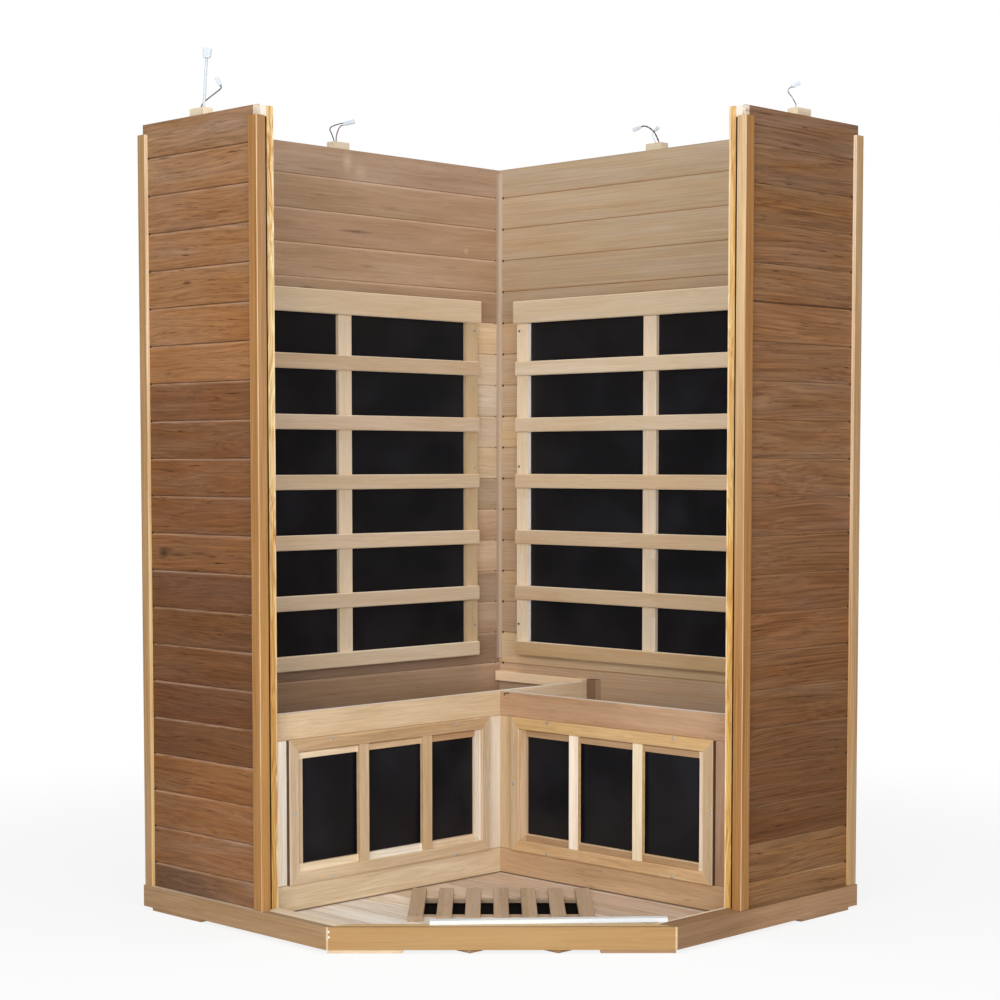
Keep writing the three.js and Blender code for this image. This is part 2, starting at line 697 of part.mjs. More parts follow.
// Leads of the left side wall: the lamp's white cable and a thin lead
function addLeftWiring(wall) {
  const top = addWireBlock('left', wall, LEFT_BLOCK_AT);
  const cable = addLead(top, 'lamp_cable', 'whiteCable', CABLE_D, [
    [7.5, -8, 12],
    [9.5, -8, 32],
    [11.5, -8, 74],
    [14.5, -8, 112],
  ]);
  addPlug(top, 'lamp_plug', LAMP_PLUG_L, LAMP_PLUG_H, [cable]);
  const lead = addLead(top, 'left_lead', 'blackWire', LEAD_D, [
    [-0.5, 3, 4],
    [4, 3, 13],
    [14, 3, 22],
    [26, 3, 31.2],
    [35, 3, 38],
    [41.5, 3, 43],
    [45, 3, 46.8],
    [45.3, 3, 49.6],
    [43.9, 3, 52.4],
  ]);
  addPlug(top, 'left_plug', PLUG_L, PLUG_H, [lead]);
}

// Leads of the back-left wall: a black and a red wire into one plug
function addBackLeftWiring(wall) {
  const top = addWireBlock('back_left', wall, -BACK_LEFT_BLOCK_AT);
  const black = addLead(top, 'back_left_lead_black', 'blackWire', LEAD_D, [
    [-10, 0, 4],
    [-13, 0, 13.5],
    [-17, 0, 24.5],
    [-20.5, 0, 32],
    [-17.5, 0, 38.5],
    [-7, 0, 43.5],
    [5, 0, 47],
    [12.8, 0, 48.9],
  ]);
  const red = addLead(top, 'back_left_lead_red', 'redWire', LEAD_D, [
    [-5, 0, 4],
    [-4.5, 0, 14.5],
    [-1, 0, 28],
    [3, 0, 36.5],
    [8, 0, 42],
    [14, 0, 43.9],
  ]);
  addPlug(top, 'back_left_plug', WIDE_PLUG_L, WIDE_PLUG_H, [black, red]);
}

// Lead of the back-right wall: a twisted pair
function addBackRightWiring(wall) {
  const top = addWireBlock('back_right', wall, BACK_RIGHT_BLOCK_AT);
  const pair = addLead(top, 'back_right_lead', 'redWire', PAIR_D, [
    [4.4, 0, 5],
    [0.5, 0, 14],
    [-5.6, 0, 26.4],
    [-14.6, 0, 35.8],
    [-24.6, 0, 41.8],
    [-34, 0, 43.4],
    [-41, 0, 41],
  ]);
  addPlug(top, 'back_right_plug', PLUG_L, PLUG_H, [pair]);
}

// Lead of the right side wall
function addRightWiring(wall) {
  const top = addWireBlock('right', wall, SIDE_WALL_L - RIGHT_BLOCK_AT);
  const lead = addLead(top, 'right_lead', 'blackWire', LEAD_D, [
    [-7.7, 0, 4],
    [-8.7, 0, 11],
    [-12.7, 0, 19.4],
    [-17.7, 0, 27.4],
    [-23.5, 0, 34.4],
    [-26, 0, 40.5],
    [-24, 0, 45.5],
    [-17.2, 0, 49.7],
  ]);
  addPlug(top, 'right_plug', PLUG_L, PLUG_H, [lead]);
}

// The back-right wall runs through the back corner, and the back-left wall's outer boards cover its end
function addWalls() {
  const throughStart = WALL_INSET + OUTER_T + FIT;
  const leftWall = addGroup(FAR_INNER, WALL_INSET + SIDE_WALL_L, WALL_Z, -Math.PI / 2);
  const rightWall = addGroup(WALL_INSET, FAR_INNER, WALL_Z, 0);
  const backLeftWall = addGroup(RIM_W, RIM_W, WALL_Z, Math.PI);
  const backRightWall = addGroup(RIM_W, RIM_W, WALL_Z, Math.PI / 2);
  addSideWall('left', leftWall, -1);
  addSideWall('right', rightWall, 1);
  const farEnd = FAR_INNER - FIT - RIM_W;
  addLayers(backLeftWall, 'back_left_wall', [-farEnd, WALL_T], [-farEnd, -FIT], [-farEnd, -FIT]);
  const through = [throughStart - RIM_W, farEnd];
  addLayers(backRightWall, 'back_right_wall', through, through, through);
  addLeftWiring(leftWall);
  addBackLeftWiring(backLeftWall);
  addBackRightWiring(backRightWall);
  addRightWiring(rightWall);
}

addSkirts();
addFloor();
addGrate();
addFeet();
addSill();
addWalls();
addCornerBead();
addWallHeater('left', Math.PI, -LEFT_GRILLE_START - GRILLE_W / 2);
addWallHeater('right', Math.PI / 2, RIGHT_GRILLE_START + GRILLE_W / 2);
addBenches();

export default sauna;
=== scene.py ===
import math
from functools import partial
import bpy
import numpy as np
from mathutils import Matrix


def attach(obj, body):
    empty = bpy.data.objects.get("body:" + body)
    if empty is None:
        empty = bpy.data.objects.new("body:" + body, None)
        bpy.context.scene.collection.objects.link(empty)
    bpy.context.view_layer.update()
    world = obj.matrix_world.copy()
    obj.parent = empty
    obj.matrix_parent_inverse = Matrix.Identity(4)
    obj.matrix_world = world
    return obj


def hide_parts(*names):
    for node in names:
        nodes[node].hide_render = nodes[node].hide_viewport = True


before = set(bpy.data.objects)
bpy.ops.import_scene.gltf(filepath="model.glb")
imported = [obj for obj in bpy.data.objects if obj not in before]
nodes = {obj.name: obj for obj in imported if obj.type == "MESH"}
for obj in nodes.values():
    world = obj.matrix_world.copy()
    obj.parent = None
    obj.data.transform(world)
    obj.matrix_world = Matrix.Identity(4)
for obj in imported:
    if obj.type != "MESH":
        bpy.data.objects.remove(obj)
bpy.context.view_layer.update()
print("frame loaded:", len(nodes), "nodes")

mm = 0.001
half = math.sqrt(0.5)
cornerY = 0.657963  # the cabin's back corner in plan
axisA = np.array([-half, -half, 0.0])  # along the back left wall, away from the corner
axisB = np.array([half, -half, 0.0])  # along the back right wall
upZ = np.array([0.0, 0.0, 1.0])
wallTop = 1841.3  # mm above the ground
floorTop = 32.0
liningFace = 58.0  # inside of the back walls, in mm from the corner behind them
benchFace = 398.0  # front of the bench boards
outerFace = 1188.0  # outside of the side walls


# a place in the cabin, from millimetres along both back walls and above the ground
def cabinPoint(alongA, alongB, height):
    alongA, alongB, height = np.broadcast_arrays(alongA, alongB, height)
    flat = np.outer(alongA, axisA) + np.outer(alongB, axisB) + np.outer(height, upZ)
    return flat * mm + np.array([0.0, cornerY, 0.0])


link = bpy.context.scene.collection.objects.link

# camera: a long lens straight in front, a little above the benches
cameraLook = {
    "lens": 76.68,
    "sensor": 36.0,
    "farEnd": 200.0,
    "place": (-0.0242, -5.2022, 1.0588),
    "tilt": -0.06434,
    "pan": -0.004472,
    "shiftUp": 0.1,
}
cameraData = bpy.data.cameras.new("camera")
cameraData.lens = cameraLook["lens"]
cameraData.sensor_width = cameraLook["sensor"]
cameraData.shift_y = cameraLook["shiftUp"]
cameraData.clip_end = cameraLook["farEnd"]
camera = bpy.data.objects.new("camera", cameraData)
camera.location = cameraLook["place"]
camera.rotation_euler = (math.pi / 2 + cameraLook["tilt"], 0, cameraLook["pan"])
link(camera)
bpy.context.scene.camera = camera


# sRGB hex to the linear numbers that a shader takes
def linearColour(code):
    part = np.array([int(code[i:i + 2], 16) for i in (1, 3, 5)]) / 255
    part = np.where(part <= 0.04045, part / 12.92, ((part + 0.055) / 1.055) ** 2.4)
    return (*(float(v) for v in part), 1.0)


# fills a node's sockets: a node or another socket is linked, anything else is a value
def setInputs(tree, node, inputs):
    for key, value in inputs.items():
        if isinstance(value, bpy.types.Node):
            value = value.outputs[0]
        if isinstance(value, bpy.types.NodeSocket):
            tree.links.new(value, node.inputs[key])
        else:
            node.inputs[key].default_value = value


# adds one node: inputs fill its sockets, settings are its own fields, stops are a ramp's colours
def addNode(tree, kind, inputs=None, stops=None, **settings):
    node = tree.nodes.new("ShaderNode" + kind)
    for field, value in settings.items():
        setattr(node, field, value)
    setInputs(tree, node, inputs or {})
    for i, (place, code) in enumerate(stops or []):
        marks = node.color_ramp.elements
        mark = marks[i] if i < len(marks) else marks.new(place)
        mark.position = place
        mark.color = linearColour(code)
    return node


def newMaterial(name, inputs):
    material = bpy.data.materials.new(name)
    material.use_nodes = True
    tree = material.node_tree
    shader = tree.nodes["Principled BSDF"]
    setInputs(tree, shader, inputs)
    return material, tree, shader


# turns that lay the grain on X; the numbers are the Mapping node's angles
grainTurn = {
    "x": (0, 0, 0),
    "y": (0, 0, -math.pi / 2),
    "z": (0, math.pi / 2, 0),
    "a": (0, 0, 3 * math.pi / 4),
    "b": (0, 0, math.pi / 4),
}
# layers of grain that all the woods share: mm along the grain, mm across it, and fineness;
# fibres are drawn coarser than real ones so that they show
grainLayers = {
    "waves": (330, 60, 1.0),
    "lines": (520, 5.0, 2.0),
    "fibres": (70, 2.4, 2.0),
    "marks": (65, 3.2, 2.0),
    "stain": (300, 42, 1.0),
}
# what a wood has unless its own look says otherwise
plainWood = {
    "shares": {"lines": 0.5, "fibres": 0.5, "stain": 0.3, "boards": 0.2},
    "contrast": 0.5,
    "late": (0.9, 1.0, 1.1),  # late wood takes more from blue and green than from red
    "drift": 0.02,  # between a cooler and a more golden tone
    "marks": 0.2,
    "wave": 30.0,  # mm that the waves bend the lines
    "slow": 1.0,  # size of the waves
    "coarse": 1.0,  # size of the other layers
    "roughness": 0.55,
    "polish": (0.07, 0.08),  # roughness below and above that, between fibres and on them
    "relief": 0.2,
    "zones": [],
}
noiseLow, noiseHigh = 0.3, 0.7  # what a noise texture keeps between, nearly
grainHeight = 0.0006  # metres of relief
facingBound, facingSoft = 0.74, 0.06  # cosine from which a face counts as turned some way, and its edge
logShift = (3000, 900, 900)  # mm that a board's grain may lie off in the log
standingLog = 7.3  # takes standing members from another part of the log than lying ones
pitchNoise = {1: 0.64, 2: 0.73}  # noise where a pitch mark starts, and where it is full


# 1 where a member stands upright: by bands of lying slats, or by a mitred frame's four sides
def uprightShare(add, axes, rule):
    if "face" not in rule:
        turn = add("Math", {0: axes["Z"], 1: rule["start"]}, operation="SUBTRACT")
        turn = add("Math", {0: turn, 1: rule["pitch"]}, operation="FLOORED_MODULO")
        stands = add("Math", {0: turn, 1: rule["lying"]}, operation="GREATER_THAN")
        below = add("Math", {0: axes["Z"], 1: rule["top"]}, operation="LESS_THAN")
        return add("Math", {0: stands, 1: below}, operation="MULTIPLY")
    toEdge = []
    for axis, middle, reach in (("X", *rule["along"]), ("Z", *rule["height"])):
        off = add("Math", {0: axes[axis], 1: middle}, operation="SUBTRACT")
        off = add("Math", {0: off}, operation="ABSOLUTE")
        toEdge.append(add("Math", {0: reach, 1: off}, operation="SUBTRACT"))
    stands = add("Math", {0: toEdge[1], 1: toEdge[0]}, operation="GREATER_THAN")
    inFrame = add("Math", {0: toEdge[1], 1: rule["face"]}, operation="GREATER_THAN")
    for low, high in rule["bars"]:
        inBar = add("Math", {0: axes["X"], 1: (low + high) / 2, 2: (high - low) / 2}, operation="COMPARE")
        inBar = add("Math", {0: inBar, 1: inFrame}, operation="MULTIPLY")
        stands = add("Math", {0: stands, 1: inBar}, operation="MAXIMUM")
    return stands


# noise for each layer of grain; the waves come first, and bend the layers after them
def grainNoise(add, start, look):
    layers, spot = {}, start
    for kind, (length, width, detail) in grainLayers.items():
        size = look["slow"] if kind == "waves" else look["coarse"]
        length, width = length * max(size, 1.0), width * size
        sized = add("VectorMath", {0: spot, 1: (1 / length, 1 / width, 1 / width)}, operation="MULTIPLY")
        layers[kind] = add("TexNoise", {"Vector": sized, "Scale": 1.0, "Detail": detail})
        if kind == "waves":
            bend = {0: layers[kind].outputs["Color"], 1: (0, look["wave"], look["wave"]), 2: start}
            spot = add("VectorMath", bend, operation="MULTIPLY_ADD")
    return layers


# how far a zone's tone covers a point: its mix, times 1 or 0 for each bound that the zone sets
def zoneShare(add, place, axes, normal, upright, zone):
    parts = []
    for axis, (low, high) in zone["within"].items():
        middle, reach = (low + high) / 2, (high - low) / 2
        parts.append(add("Math", {0: axes[axis], 1: middle, 2: reach}, operation="COMPARE"))
    for axis, (none, full) in zone.get("fade", {}).items():
        parts.append(add("MapRange", {0: axes[axis], 1: none, 2: full}, interpolation_type="SMOOTHSTEP"))
    if "spot" in zone:  # round or long in the grain's direction, with a soft or a crisp edge
        along, height, reach, stretch, edge = zone["spot"]
        off = add("VectorMath", {0: place, 1: (along, 0, height)}, operation="SUBTRACT")
        off = add("VectorMath", {0: off, 1: (1 / (reach * stretch), 0, 1 / reach)}, operation="MULTIPLY")
        off = add("VectorMath", {0: off}, operation="LENGTH").outputs["Value"]
        parts.append(add("MapRange", {0: off, 1: 1.0, 2: edge}))
    if "facing" in zone:  # the cosine of the angle to a direction, from a bound up
        bound = zone.get("turn", facingBound)
        turned = add("VectorMath", {0: normal, 1: tuple(zone["facing"])}, operation="DOT_PRODUCT")
        parts.append(add("MapRange", {0: turned.outputs["Value"], 1: bound, 2: bound + facingSoft}))
    if "standing" in zone:
        parts.append(add("Math", {0: upright, 1: zone["standing"], 2: 0.1}, operation="COMPARE"))
    share = zone["mix"]
    for part in parts:
        share = add("Math", {0: part, 1: share}, operation="MULTIPLY")
    return share


def dress(name, material):
    piece = nodes[name]
    piece.data.materials.clear()
    piece.data.materials.append(material)


# Planed softwood with little or no oil: a tone for each board, long lines of late wood that slow waves
# bend, short fibres that scatter the light, and here and there a dark pitch mark. Zones give single faces
# and members their own tone, some of it painted light and shade, and a seam is a line of painted shade
# above a painted highlight on its lip. Later looks override earlier ones.
def dressInWood(node, name, *looks, **own):
    look = dict(plainWood)
    for part in (*looks, own):
        look.update(part)
    material, tree, shader = newMaterial(name, {"IOR": 1.5, "Specular IOR Level": 0.2})
    add = partial(addNode, tree)
    coords = add("TexCoord").outputs
    inMm = {"Vector": coords["Object"], "Scale": (1000, 1000, 1000)}
    place = add("Mapping", {**inMm, "Rotation": grainTurn[look["along"]]})
    axes = add("SeparateXYZ", {0: place}).outputs
    grain, upright = place, None
    if "upright" in look:
        upright = uprightShare(add, axes, look["upright"])
        standing = add("Mapping", {**inMm, "Rotation": grainTurn["z"]})
        grain = add("Mix", {0: upright, 4: place, 5: standing}, data_type="VECTOR").outputs[1]

    # the board's number takes its grain from another part of the log
    number, rise = look["seed"], None
    tone = linearColour(look["tone"]) if "tone" in look else None
    if "rows" in look:
        rows = look["rows"]
        ends = {1: rows["start"], 2: rows["start"] + rows["pitch"]}
        across = add("MapRange", {0: axes[rows["axis"]], **ends}, clamp=False)
        row = add("Math", {0: across}, operation="FLOOR")
        rise = add("Math", {0: across}, operation="FRACT")  # share of the board's width above the seam
        if tone is None:
            count = len(look["boards"])
            pick = add("Math", {0: row, 1: -1 / count, 2: 0.5 / count}, operation="MULTIPLY_ADD")
            stops = [(i / count, code) for i, code in enumerate(look["boards"])]
            ramp = add("ValToRGB", {0: pick}, stops)
            ramp.color_ramp.interpolation = "CONSTANT"
            tone = ramp.outputs[0]
        number = add("Math", {0: row, 1: look["seed"]}, operation="ADD")
    if upright is not None:
        number = add("Math", {0: upright, 1: standingLog, 2: number}, operation="MULTIPLY_ADD")
    chance = add("TexWhiteNoise", {"W": number}, noise_dimensions="1D").outputs
    moved = add("VectorMath", {0: chance["Color"], 1: logShift, 2: grain}, operation="MULTIPLY_ADD")
    layers = grainNoise(add, moved, look)

    # how dark the grain is at a point: 0 is the tone itself
    shares = {**plainWood["shares"], **look["shares"]}
    depth = -0.5 * sum(shares.values())
    for kind, share in shares.items():
        layer = chance["Value"] if kind == "boards" else layers[kind]
        depth = add("Math", {0: layer, 1: share, 2: depth}, operation="MULTIPLY_ADD")
    marks = add("MapRange", {0: layers["marks"], **pitchNoise, 4: look["marks"]})
    depth = add("Math", {0: depth, 1: marks}, operation="ADD")
    if rise is not None and "shade" in look:  # a board is a little darker towards its lower edge
        depth = add("Math", {0: rise, 1: -look["shade"], 2: depth}, operation="MULTIPLY_ADD")

    for zone in look["zones"]:
        share = zoneShare(add, place, axes, coords["Normal"], upright, zone)
        tone = add("Mix", {0: share, 6: tone, 7: linearColour(zone["tone"])}, data_type="RGBA").outputs[2]

    if "groove" in look:  # shade in the groove between two boards, and the lit lip under it
        groove = look["groove"]
        for end, (width, strength, code) in ((0, groove["dark"]), (1, groove["pale"])):
            edge = abs(end - width / rows["pitch"])
            line = add("MapRange", {0: rise, 1: edge, 2: end, 4: strength})
            tone = add("Mix", {0: line, 6: tone, 7: linearColour(code)}, data_type="RGBA").outputs[2]

    deep = [1.0 - look["contrast"] * share for share in look["late"]]
    factor = add("MapRange", {6: depth, 9: (1, 1, 1), 10: deep}, clamp=False, data_type="FLOAT_VECTOR")
    tone = tone[:3] if isinstance(tone, tuple) else tone
    colour = add("VectorMath", {0: tone, 1: factor.outputs[1]}, operation="MULTIPLY")
    drift = look["drift"]
    cool, golden = (1 - drift, 1, 1 + 2 * drift), (1 + drift, 1, 1 - 2 * drift)
    hue = add("MapRange", {6: layers["stain"], 7: [noiseLow] * 3, 8: [noiseHigh] * 3, 9: cool, 10: golden},
              clamp=False, data_type="FLOAT_VECTOR")
    colour = add("VectorMath", {0: colour, 1: hue.outputs[1]}, operation="MULTIPLY")

    rough, (less, more) = look["roughness"], look["polish"]
    ends = {1: noiseLow, 2: noiseHigh, 3: rough - less, 4: rough + more}
    polish = add("MapRange", {0: layers["fibres"], **ends})
    relief = add("Math", {0: layers["lines"], 1: 0.6, 2: layers["fibres"]}, operation="MULTIPLY_ADD")
    bump = add("Bump", {"Height": relief, "Strength": look["relief"], "Distance": grainHeight})
    setInputs(tree, shader, {"Base Color": colour, "Roughness": polish, "Normal": bump})
    dress(node, material)


# a zone for a wood: a tone inside spans in mm along x, y and z, and where the other bounds hold
def toneZone(tone, mix=1.0, x=None, y=None, z=None, **bounds):
    spans = {"X": x, "Y": y, "Z": z}
    within = {axis: span for axis, span in spans.items() if span}
    return {"tone": tone, "mix": mix, "within": within, **bounds}


# each wall: whose boards it has, the way its grain runs, and the seeds of its boards, lining and core
wallPlans = {
    "left": ("left", "b", (3.1, 203.4, 5.1)),
    "right": ("right", "a", (41.7, 241.3, 6.2)),
    "back_left": ("left", "a", (83.2, 283.6, 7.4)),
    "back_right": ("right", "b", (120.9, 320.8, 8.9)),
}


# marks in the grain: mm along the wall and up, half height, stretch along the grain, tone and strength
def grainSpots(edge, marks):
    return [toneZone(tone, mix, spot=(*shape, edge)) for *shape, tone, mix in marks]


# outside boards: oiled red cedar; one tone for each board, from the top down
outerRows = {"axis": "Z", "start": wallTop - 80, "pitch": 86.6}
outerLook = {
    "rows": outerRows,
    "shares": {"lines": 0.75, "fibres": 0.65, "stain": 0.45, "boards": 0.0},
    "relief": 0.3,
    "shade": 0.06,
}
outerSides = {
    "left": {
        "wave": 34, "marks": 0.45, "drift": 0.08, "contrast": 1.5,
        "groove": {"dark": (3.6, 0.75, "#4f3120"), "pale": (7.0, 0.6, "#b8957a")},
        "boards": ["#977253", "#98704e", "#946a47", "#966c49", "#936843", "#986b45", "#956740", "#795236",
                   "#785134", "#7b5233", "#784f30", "#7d5332", "#694329", "#6c482c", "#6c462a", "#684227",
                   "#6c4527", "#855832", "#8b5e39", "#8c613f", "#896549"]},
    "right": {
        "wave": 42, "slow": 1.6, "marks": 0.4, "drift": 0.07, "contrast": 1.6, "coarse": 0.85,
        "shares": {"lines": 1.1, "fibres": 0.3, "stain": 0.4, "boards": 0.0},
        "groove": {"dark": (3.0, 0.3, "#8a6a4c"), "pale": (6.0, 0.2, "#b08d6b")},
        "boards": ["#7f5e45", "#7d5a3e", "#805b3c", "#825c3e", "#825c3d", "#875e3c", "#815c3f", "#825d40",
                   "#815c3e", "#7f5a3d", "#7a5438", "#785234", "#775032", "#7b5231", "#744d2e", "#714c2e",
                   "#6c482b", "#684325", "#664122", "#7f5936", "#89623d"]},
}
# bare ends above the front trims
bareEnds = [toneZone("#e6d8c6", 0.75, x=(-46, -30))]
# left wall: a knot near its rear, dark flecks, and lowest boards that darken towards the rear
wallKnots = grainSpots(0.2, [
    (-389, 850, 17, 1.3, "#3c2415", 0.8), (-372, 857, 8, 4.0, "#4a2d1a", 0.6),
    (-330, 846, 4, 9.0, "#4a2d1a", 0.65), (-255, 852, 4, 9.0, "#4a2d1a", 0.5),
    (-206, 846, 4, 6.0, "#4a2d1a", 0.6), (-290, 1468, 5, 4.5, "#3a2213", 0.8),
    (-258, 1590, 3.5, 12.0, "#50331f", 0.6), (-151, 1619, 3.5, 12.0, "#50331f", 0.6),
])
lowBoards = [
    toneZone("#54341f", 0.3, z=(58, 460), fade={"X": (-150, -420)}),
    toneZone("#3f281c", 0.45, z=(58, 112), fade={"X": (0, -330)}),
]
# right wall: pitch streaks, and one joint that stands open
streakPlaces = [(-247, 1632, 14), (-190, 1682, 6), (-315, 1672, 8), (-105, 1829, 14), (-248, 1814, 5),
                (-175, 1760, 6), (-215, 1773, 12), (-145, 1486, 7)]
wallStreaks = grainSpots(0.2, [(x, z, 3, stretch, "#35221a", 0.7) for x, z, stretch in streakPlaces])
openJoint = [toneZone("#3a2418", 0.7, z=(1413.5, 1418.5))]
outerZones = {"left": bareEnds + wallKnots + lowBoards, "right": bareEnds + wallStreaks + openJoint}
for wall, (side, along, seeds) in wallPlans.items():
    dressInWood(f"{wall}_wall_outer_boards", f"cedar_boards_{wall}", outerLook, outerSides[side],
                zones=outerZones.get(wall, []), along=along, seed=seeds[0])

# inside boards: paler, planed and left without oil
liningRows = {"axis": "Z", "start": wallTop - 75, "pitch": 83.3}
liningLook = {
    "rows": liningRows,
    "contrast": 0.9,
    "roughness": 0.62,
    "shade": 0.1,
}
liningSides = {
    "left": {
        "wave": 22, "marks": 0.25, "shares": {"fibres": 0.4, "stain": 0.6, "boards": 0.0},
        "groove": {"dark": (2.0, 0.35, "#8a6a50"), "pale": (7.0, 0.6, "#cfb296")},
        "boards": ["#a58972", "#a3856a", "#a28267", "#a7896e", "#a1846a", "#ceb28e", "#ceb89c", "#c9b69f",
                   "#cbb49d", "#c9b191", "#ac957b", "#b79a7f", "#c7ac90", "#a38971", "#b1967d", "#997e69",
                   "#ac8e73"] + ["#8a6d57"] * 5},
    "right": {
        "wave": 6, "marks": 0.06, "coarse": 0.6, "drift": 0.03,
        "shares": {"lines": 0.65, "fibres": 0.35, "boards": 0.0},
        "groove": {"dark": (4.5, 0.8, "#a87c50"), "pale": (2.0, 0.1, "#c9ad8c")},
        "boards": ["#b09a80", "#b29a7d", "#b0987b", "#aa9276", "#a58d72", "#b4987a", "#b3987b", "#b39a7d",
                   "#c3a782", "#b69c7e", "#b3977a", "#ac9174", "#af9376", "#b99b79", "#b1967b", "#d2b691",
                   "#bfa184"] + ["#9d8066"] * 5},
}
# dark streaks and pale stains near the top of the back left wall
liningMarks = grainSpots(0.1, [
    (106, 1640, 5, 13.0, "#5f483b", 0.75), (70, 1556, 5, 8.0, "#6b5140", 0.5),
    (224, 1721, 4, 10.0, "#6b5140", 0.45), (236, 1783, 5, 14.0, "#745a49", 0.5),
    (-17, 1706, 8, 6.0, "#745a49", 0.4), (267, 1492, 4, 8.0, "#5f483b", 0.6),
    (133, 1812, 34, 0.6, "#c9b193", 0.45), (90, 1792, 26, 1.1, "#c9b193", 0.4),
    (-282, 1618, 11, 0.9, "#c8a985", 0.5),
])
for wall, (side, along, seeds) in wallPlans.items():
    dressInWood(f"{wall}_wall_lining", f"cedar_lining_{wall}", liningLook, liningSides[side],
                zones=liningMarks if wall == "back_left" else [], along=along, seed=seeds[1])

# wall cores: pale spruce framing, seen at the tops and ends, and in shade beside the battens
gapShade = [toneZone("#2e2017", 0.92, x=(-120, 10), z=(0, 1817))]
coreLook = {"tone": "#ece0d3", "contrast": 0.35, "roughness": 0.7}
for wall, (side, along, seeds) in wallPlans.items():
    zones = [] if "back" in wall else gapShade
    dressInWood(f"{wall}_wall_core", f"spruce_core_{wall}", coreLook, zones=zones, along=along, seed=seeds[2])

# corner trims, battens and the bead: golden cedar sapwood, cut upright, with rounded corners; faces turned to
# the light get painted highlights and faces turned away painted shade
trimLook = {"along": "z", "shares": {"lines": 1.1, "fibres": 0.3}, "wave": 10, "marks": 0.1, "contrast": 1.1,
            "coarse": 0.7, "late": (0.75, 1.0, 1.2)}
# the ends' tones hold painted light where an end faces the light and painted shade where it faces away; the
# corner's tone is a painted highlight
trimTones = {  # tone of the face, of the end at its top and foot, and of the corner between them
    "front_left": ("#a17342", ("#9c7550", "#a97b46"), axisB, "#d9bf9a"),
    "front_right": ("#a37443", ("#cfb188", "#a77847"), axisA, "#d8c5a6"),
    "rear_left": ("#b08a5e", ("#ddc4a2", "#dcbb84"), axisB, "#b08a5e"),
    "rear_right": ("#b5936a", ("#e5d0b3", "#c39c6c"), axisA, "#b5936a"),
}
for i, (corner, (face, (endTop, endFoot), endWay, edge)) in enumerate(trimTones.items()):
    # painted light and shade on the ends, and a painted highlight along the front corner
    zones = [toneZone(endFoot, 0.9, facing=endWay),
             toneZone(endTop, 0.9, facing=endWay, fade={"X": (500, 1500)}),
             toneZone(edge, 0.45, facing=(0, -1, 0), turn=0.93)]
    dressInWood(corner.replace("_", "_corner_trim_"), f"cedar_trim_{corner}", trimLook, tone=face,
                zones=zones, seed=11.3 + 1.7 * i)
battenLook = {**trimLook, "shares": {"lines": 1.6, "fibres": 0.4, "stain": 0.5}, "wave": 60, "coarse": 0.6,
              "contrast": 1.3, "late": (0.55, 1.0, 1.3)}
# the band at the inner edge carries a painted highlight, and the outer side, which faces the gap beside the
# trim, painted shade
battenSides = {  # tone at the foot and at the top, the inner edge, and the way that the outer side faces
    "left": ("#cba15f", "#e3c893", (501, 505), axisA, 20.1),
    "right": ("#cd9d56", "#d0a469", (-505, -501), axisB, 23.9),
}
for side, (foot, top, rim, outward, seed) in battenSides.items():
    # a painted highlight on the inner edge, and painted shade on the outer side in the gap
    zones = [toneZone(top, fade={"X": (500, 1600)}),
             toneZone("#efdcbc", 0.4, z=rim),
             toneZone("#3a2117", 0.92, facing=outward)]
    dressInWood(f"front_batten_{side}", f"cedar_batten_{side}", battenLook, tone=foot, zones=zones, seed=seed)
# the bead's face turned towards axisB gets a painted highlight
beadLook = {"tone": "#ad9884", "contrast": 0.4, "seed": 19.6,
            "zones": [toneZone("#c6b5a3", 0.8, facing=axisB)]}
dressInWood("inner_corner_bead", "cedar_bead", trimLook, beadLook)

# slatted guards: planed hemlock, slats lying over upright stiles; one tone for each slat, from the top down
slatPitch = 148.7  # mm from slat to slat
grilleLook = {
    "upright": {"start": 546.0, "pitch": slatPitch, "lying": 37.0, "top": 1426.0},
    "rows": {"axis": "Z", "start": 520.0 + 6 * slatPitch, "pitch": slatPitch},
    "shares": {"lines": 0.6, "stain": 0.5, "boards": 0.0},
    "coarse": 0.7,
    "roughness": 0.6,
    "marks": 0.12,
}
# painted light on the slats' lower and upper faces
litSlatEdges = [toneZone("#f2e2c8", 0.9, facing=-upZ),
             toneZone("#f2e2c8", 0.8, facing=upZ)]
nearStile = (-325, -270)
grilleSides = {
    "left": {
        "along": "a", "seed": 31.2,
        "boards": ["#cbb395", "#c1a688", "#cbb49b", "#cbb396", "#d2ba9e", "#ccb59a", "#d6c0a3"],
        "zones": [toneZone("#c2a885", standing=1),
                  toneZone("#dcc7ac", x=(139, 184), standing=1),
                  *litSlatEdges]},
    "right": {
        "along": "b", "seed": 47.5,
        "boards": ["#cab599", "#d4c0a5", "#d1bb9e", "#d0b696", "#c9ae8d", "#c8ad8c", "#c4a47d"],
        "zones": [toneZone("#dfccb4", standing=1),
                  toneZone("#e4d1b6", x=nearStile, standing=1),
                  # a painted highlight on the near stile's inner side
                  toneZone("#f8f1e6", 0.9, x=nearStile, standing=1, facing=axisB),
                  *litSlatEdges]},
}
for side, look in grilleSides.items():
    dressInWood(f"wall_grille_{side}", f"hemlock_grille_{side}", grilleLook, look)

# bench fronts: lying rails above and below the window, upright stiles beside it, and top edges with a painted
# highlight
cornerAlong = cornerY * 1000 * half  # the back corner, in mm before a pattern's zero along a wall
frameInset, frameLength, memberWidth = 47.0, 643.7, 28.0
frameStart = benchFace - cornerAlong + frameInset
frameEnd = frameStart + frameLength
windowFoot, windowTop = 96.0, 429.0
windowHeight = windowTop - windowFoot
seamAndShadowTone = "#8a6747"
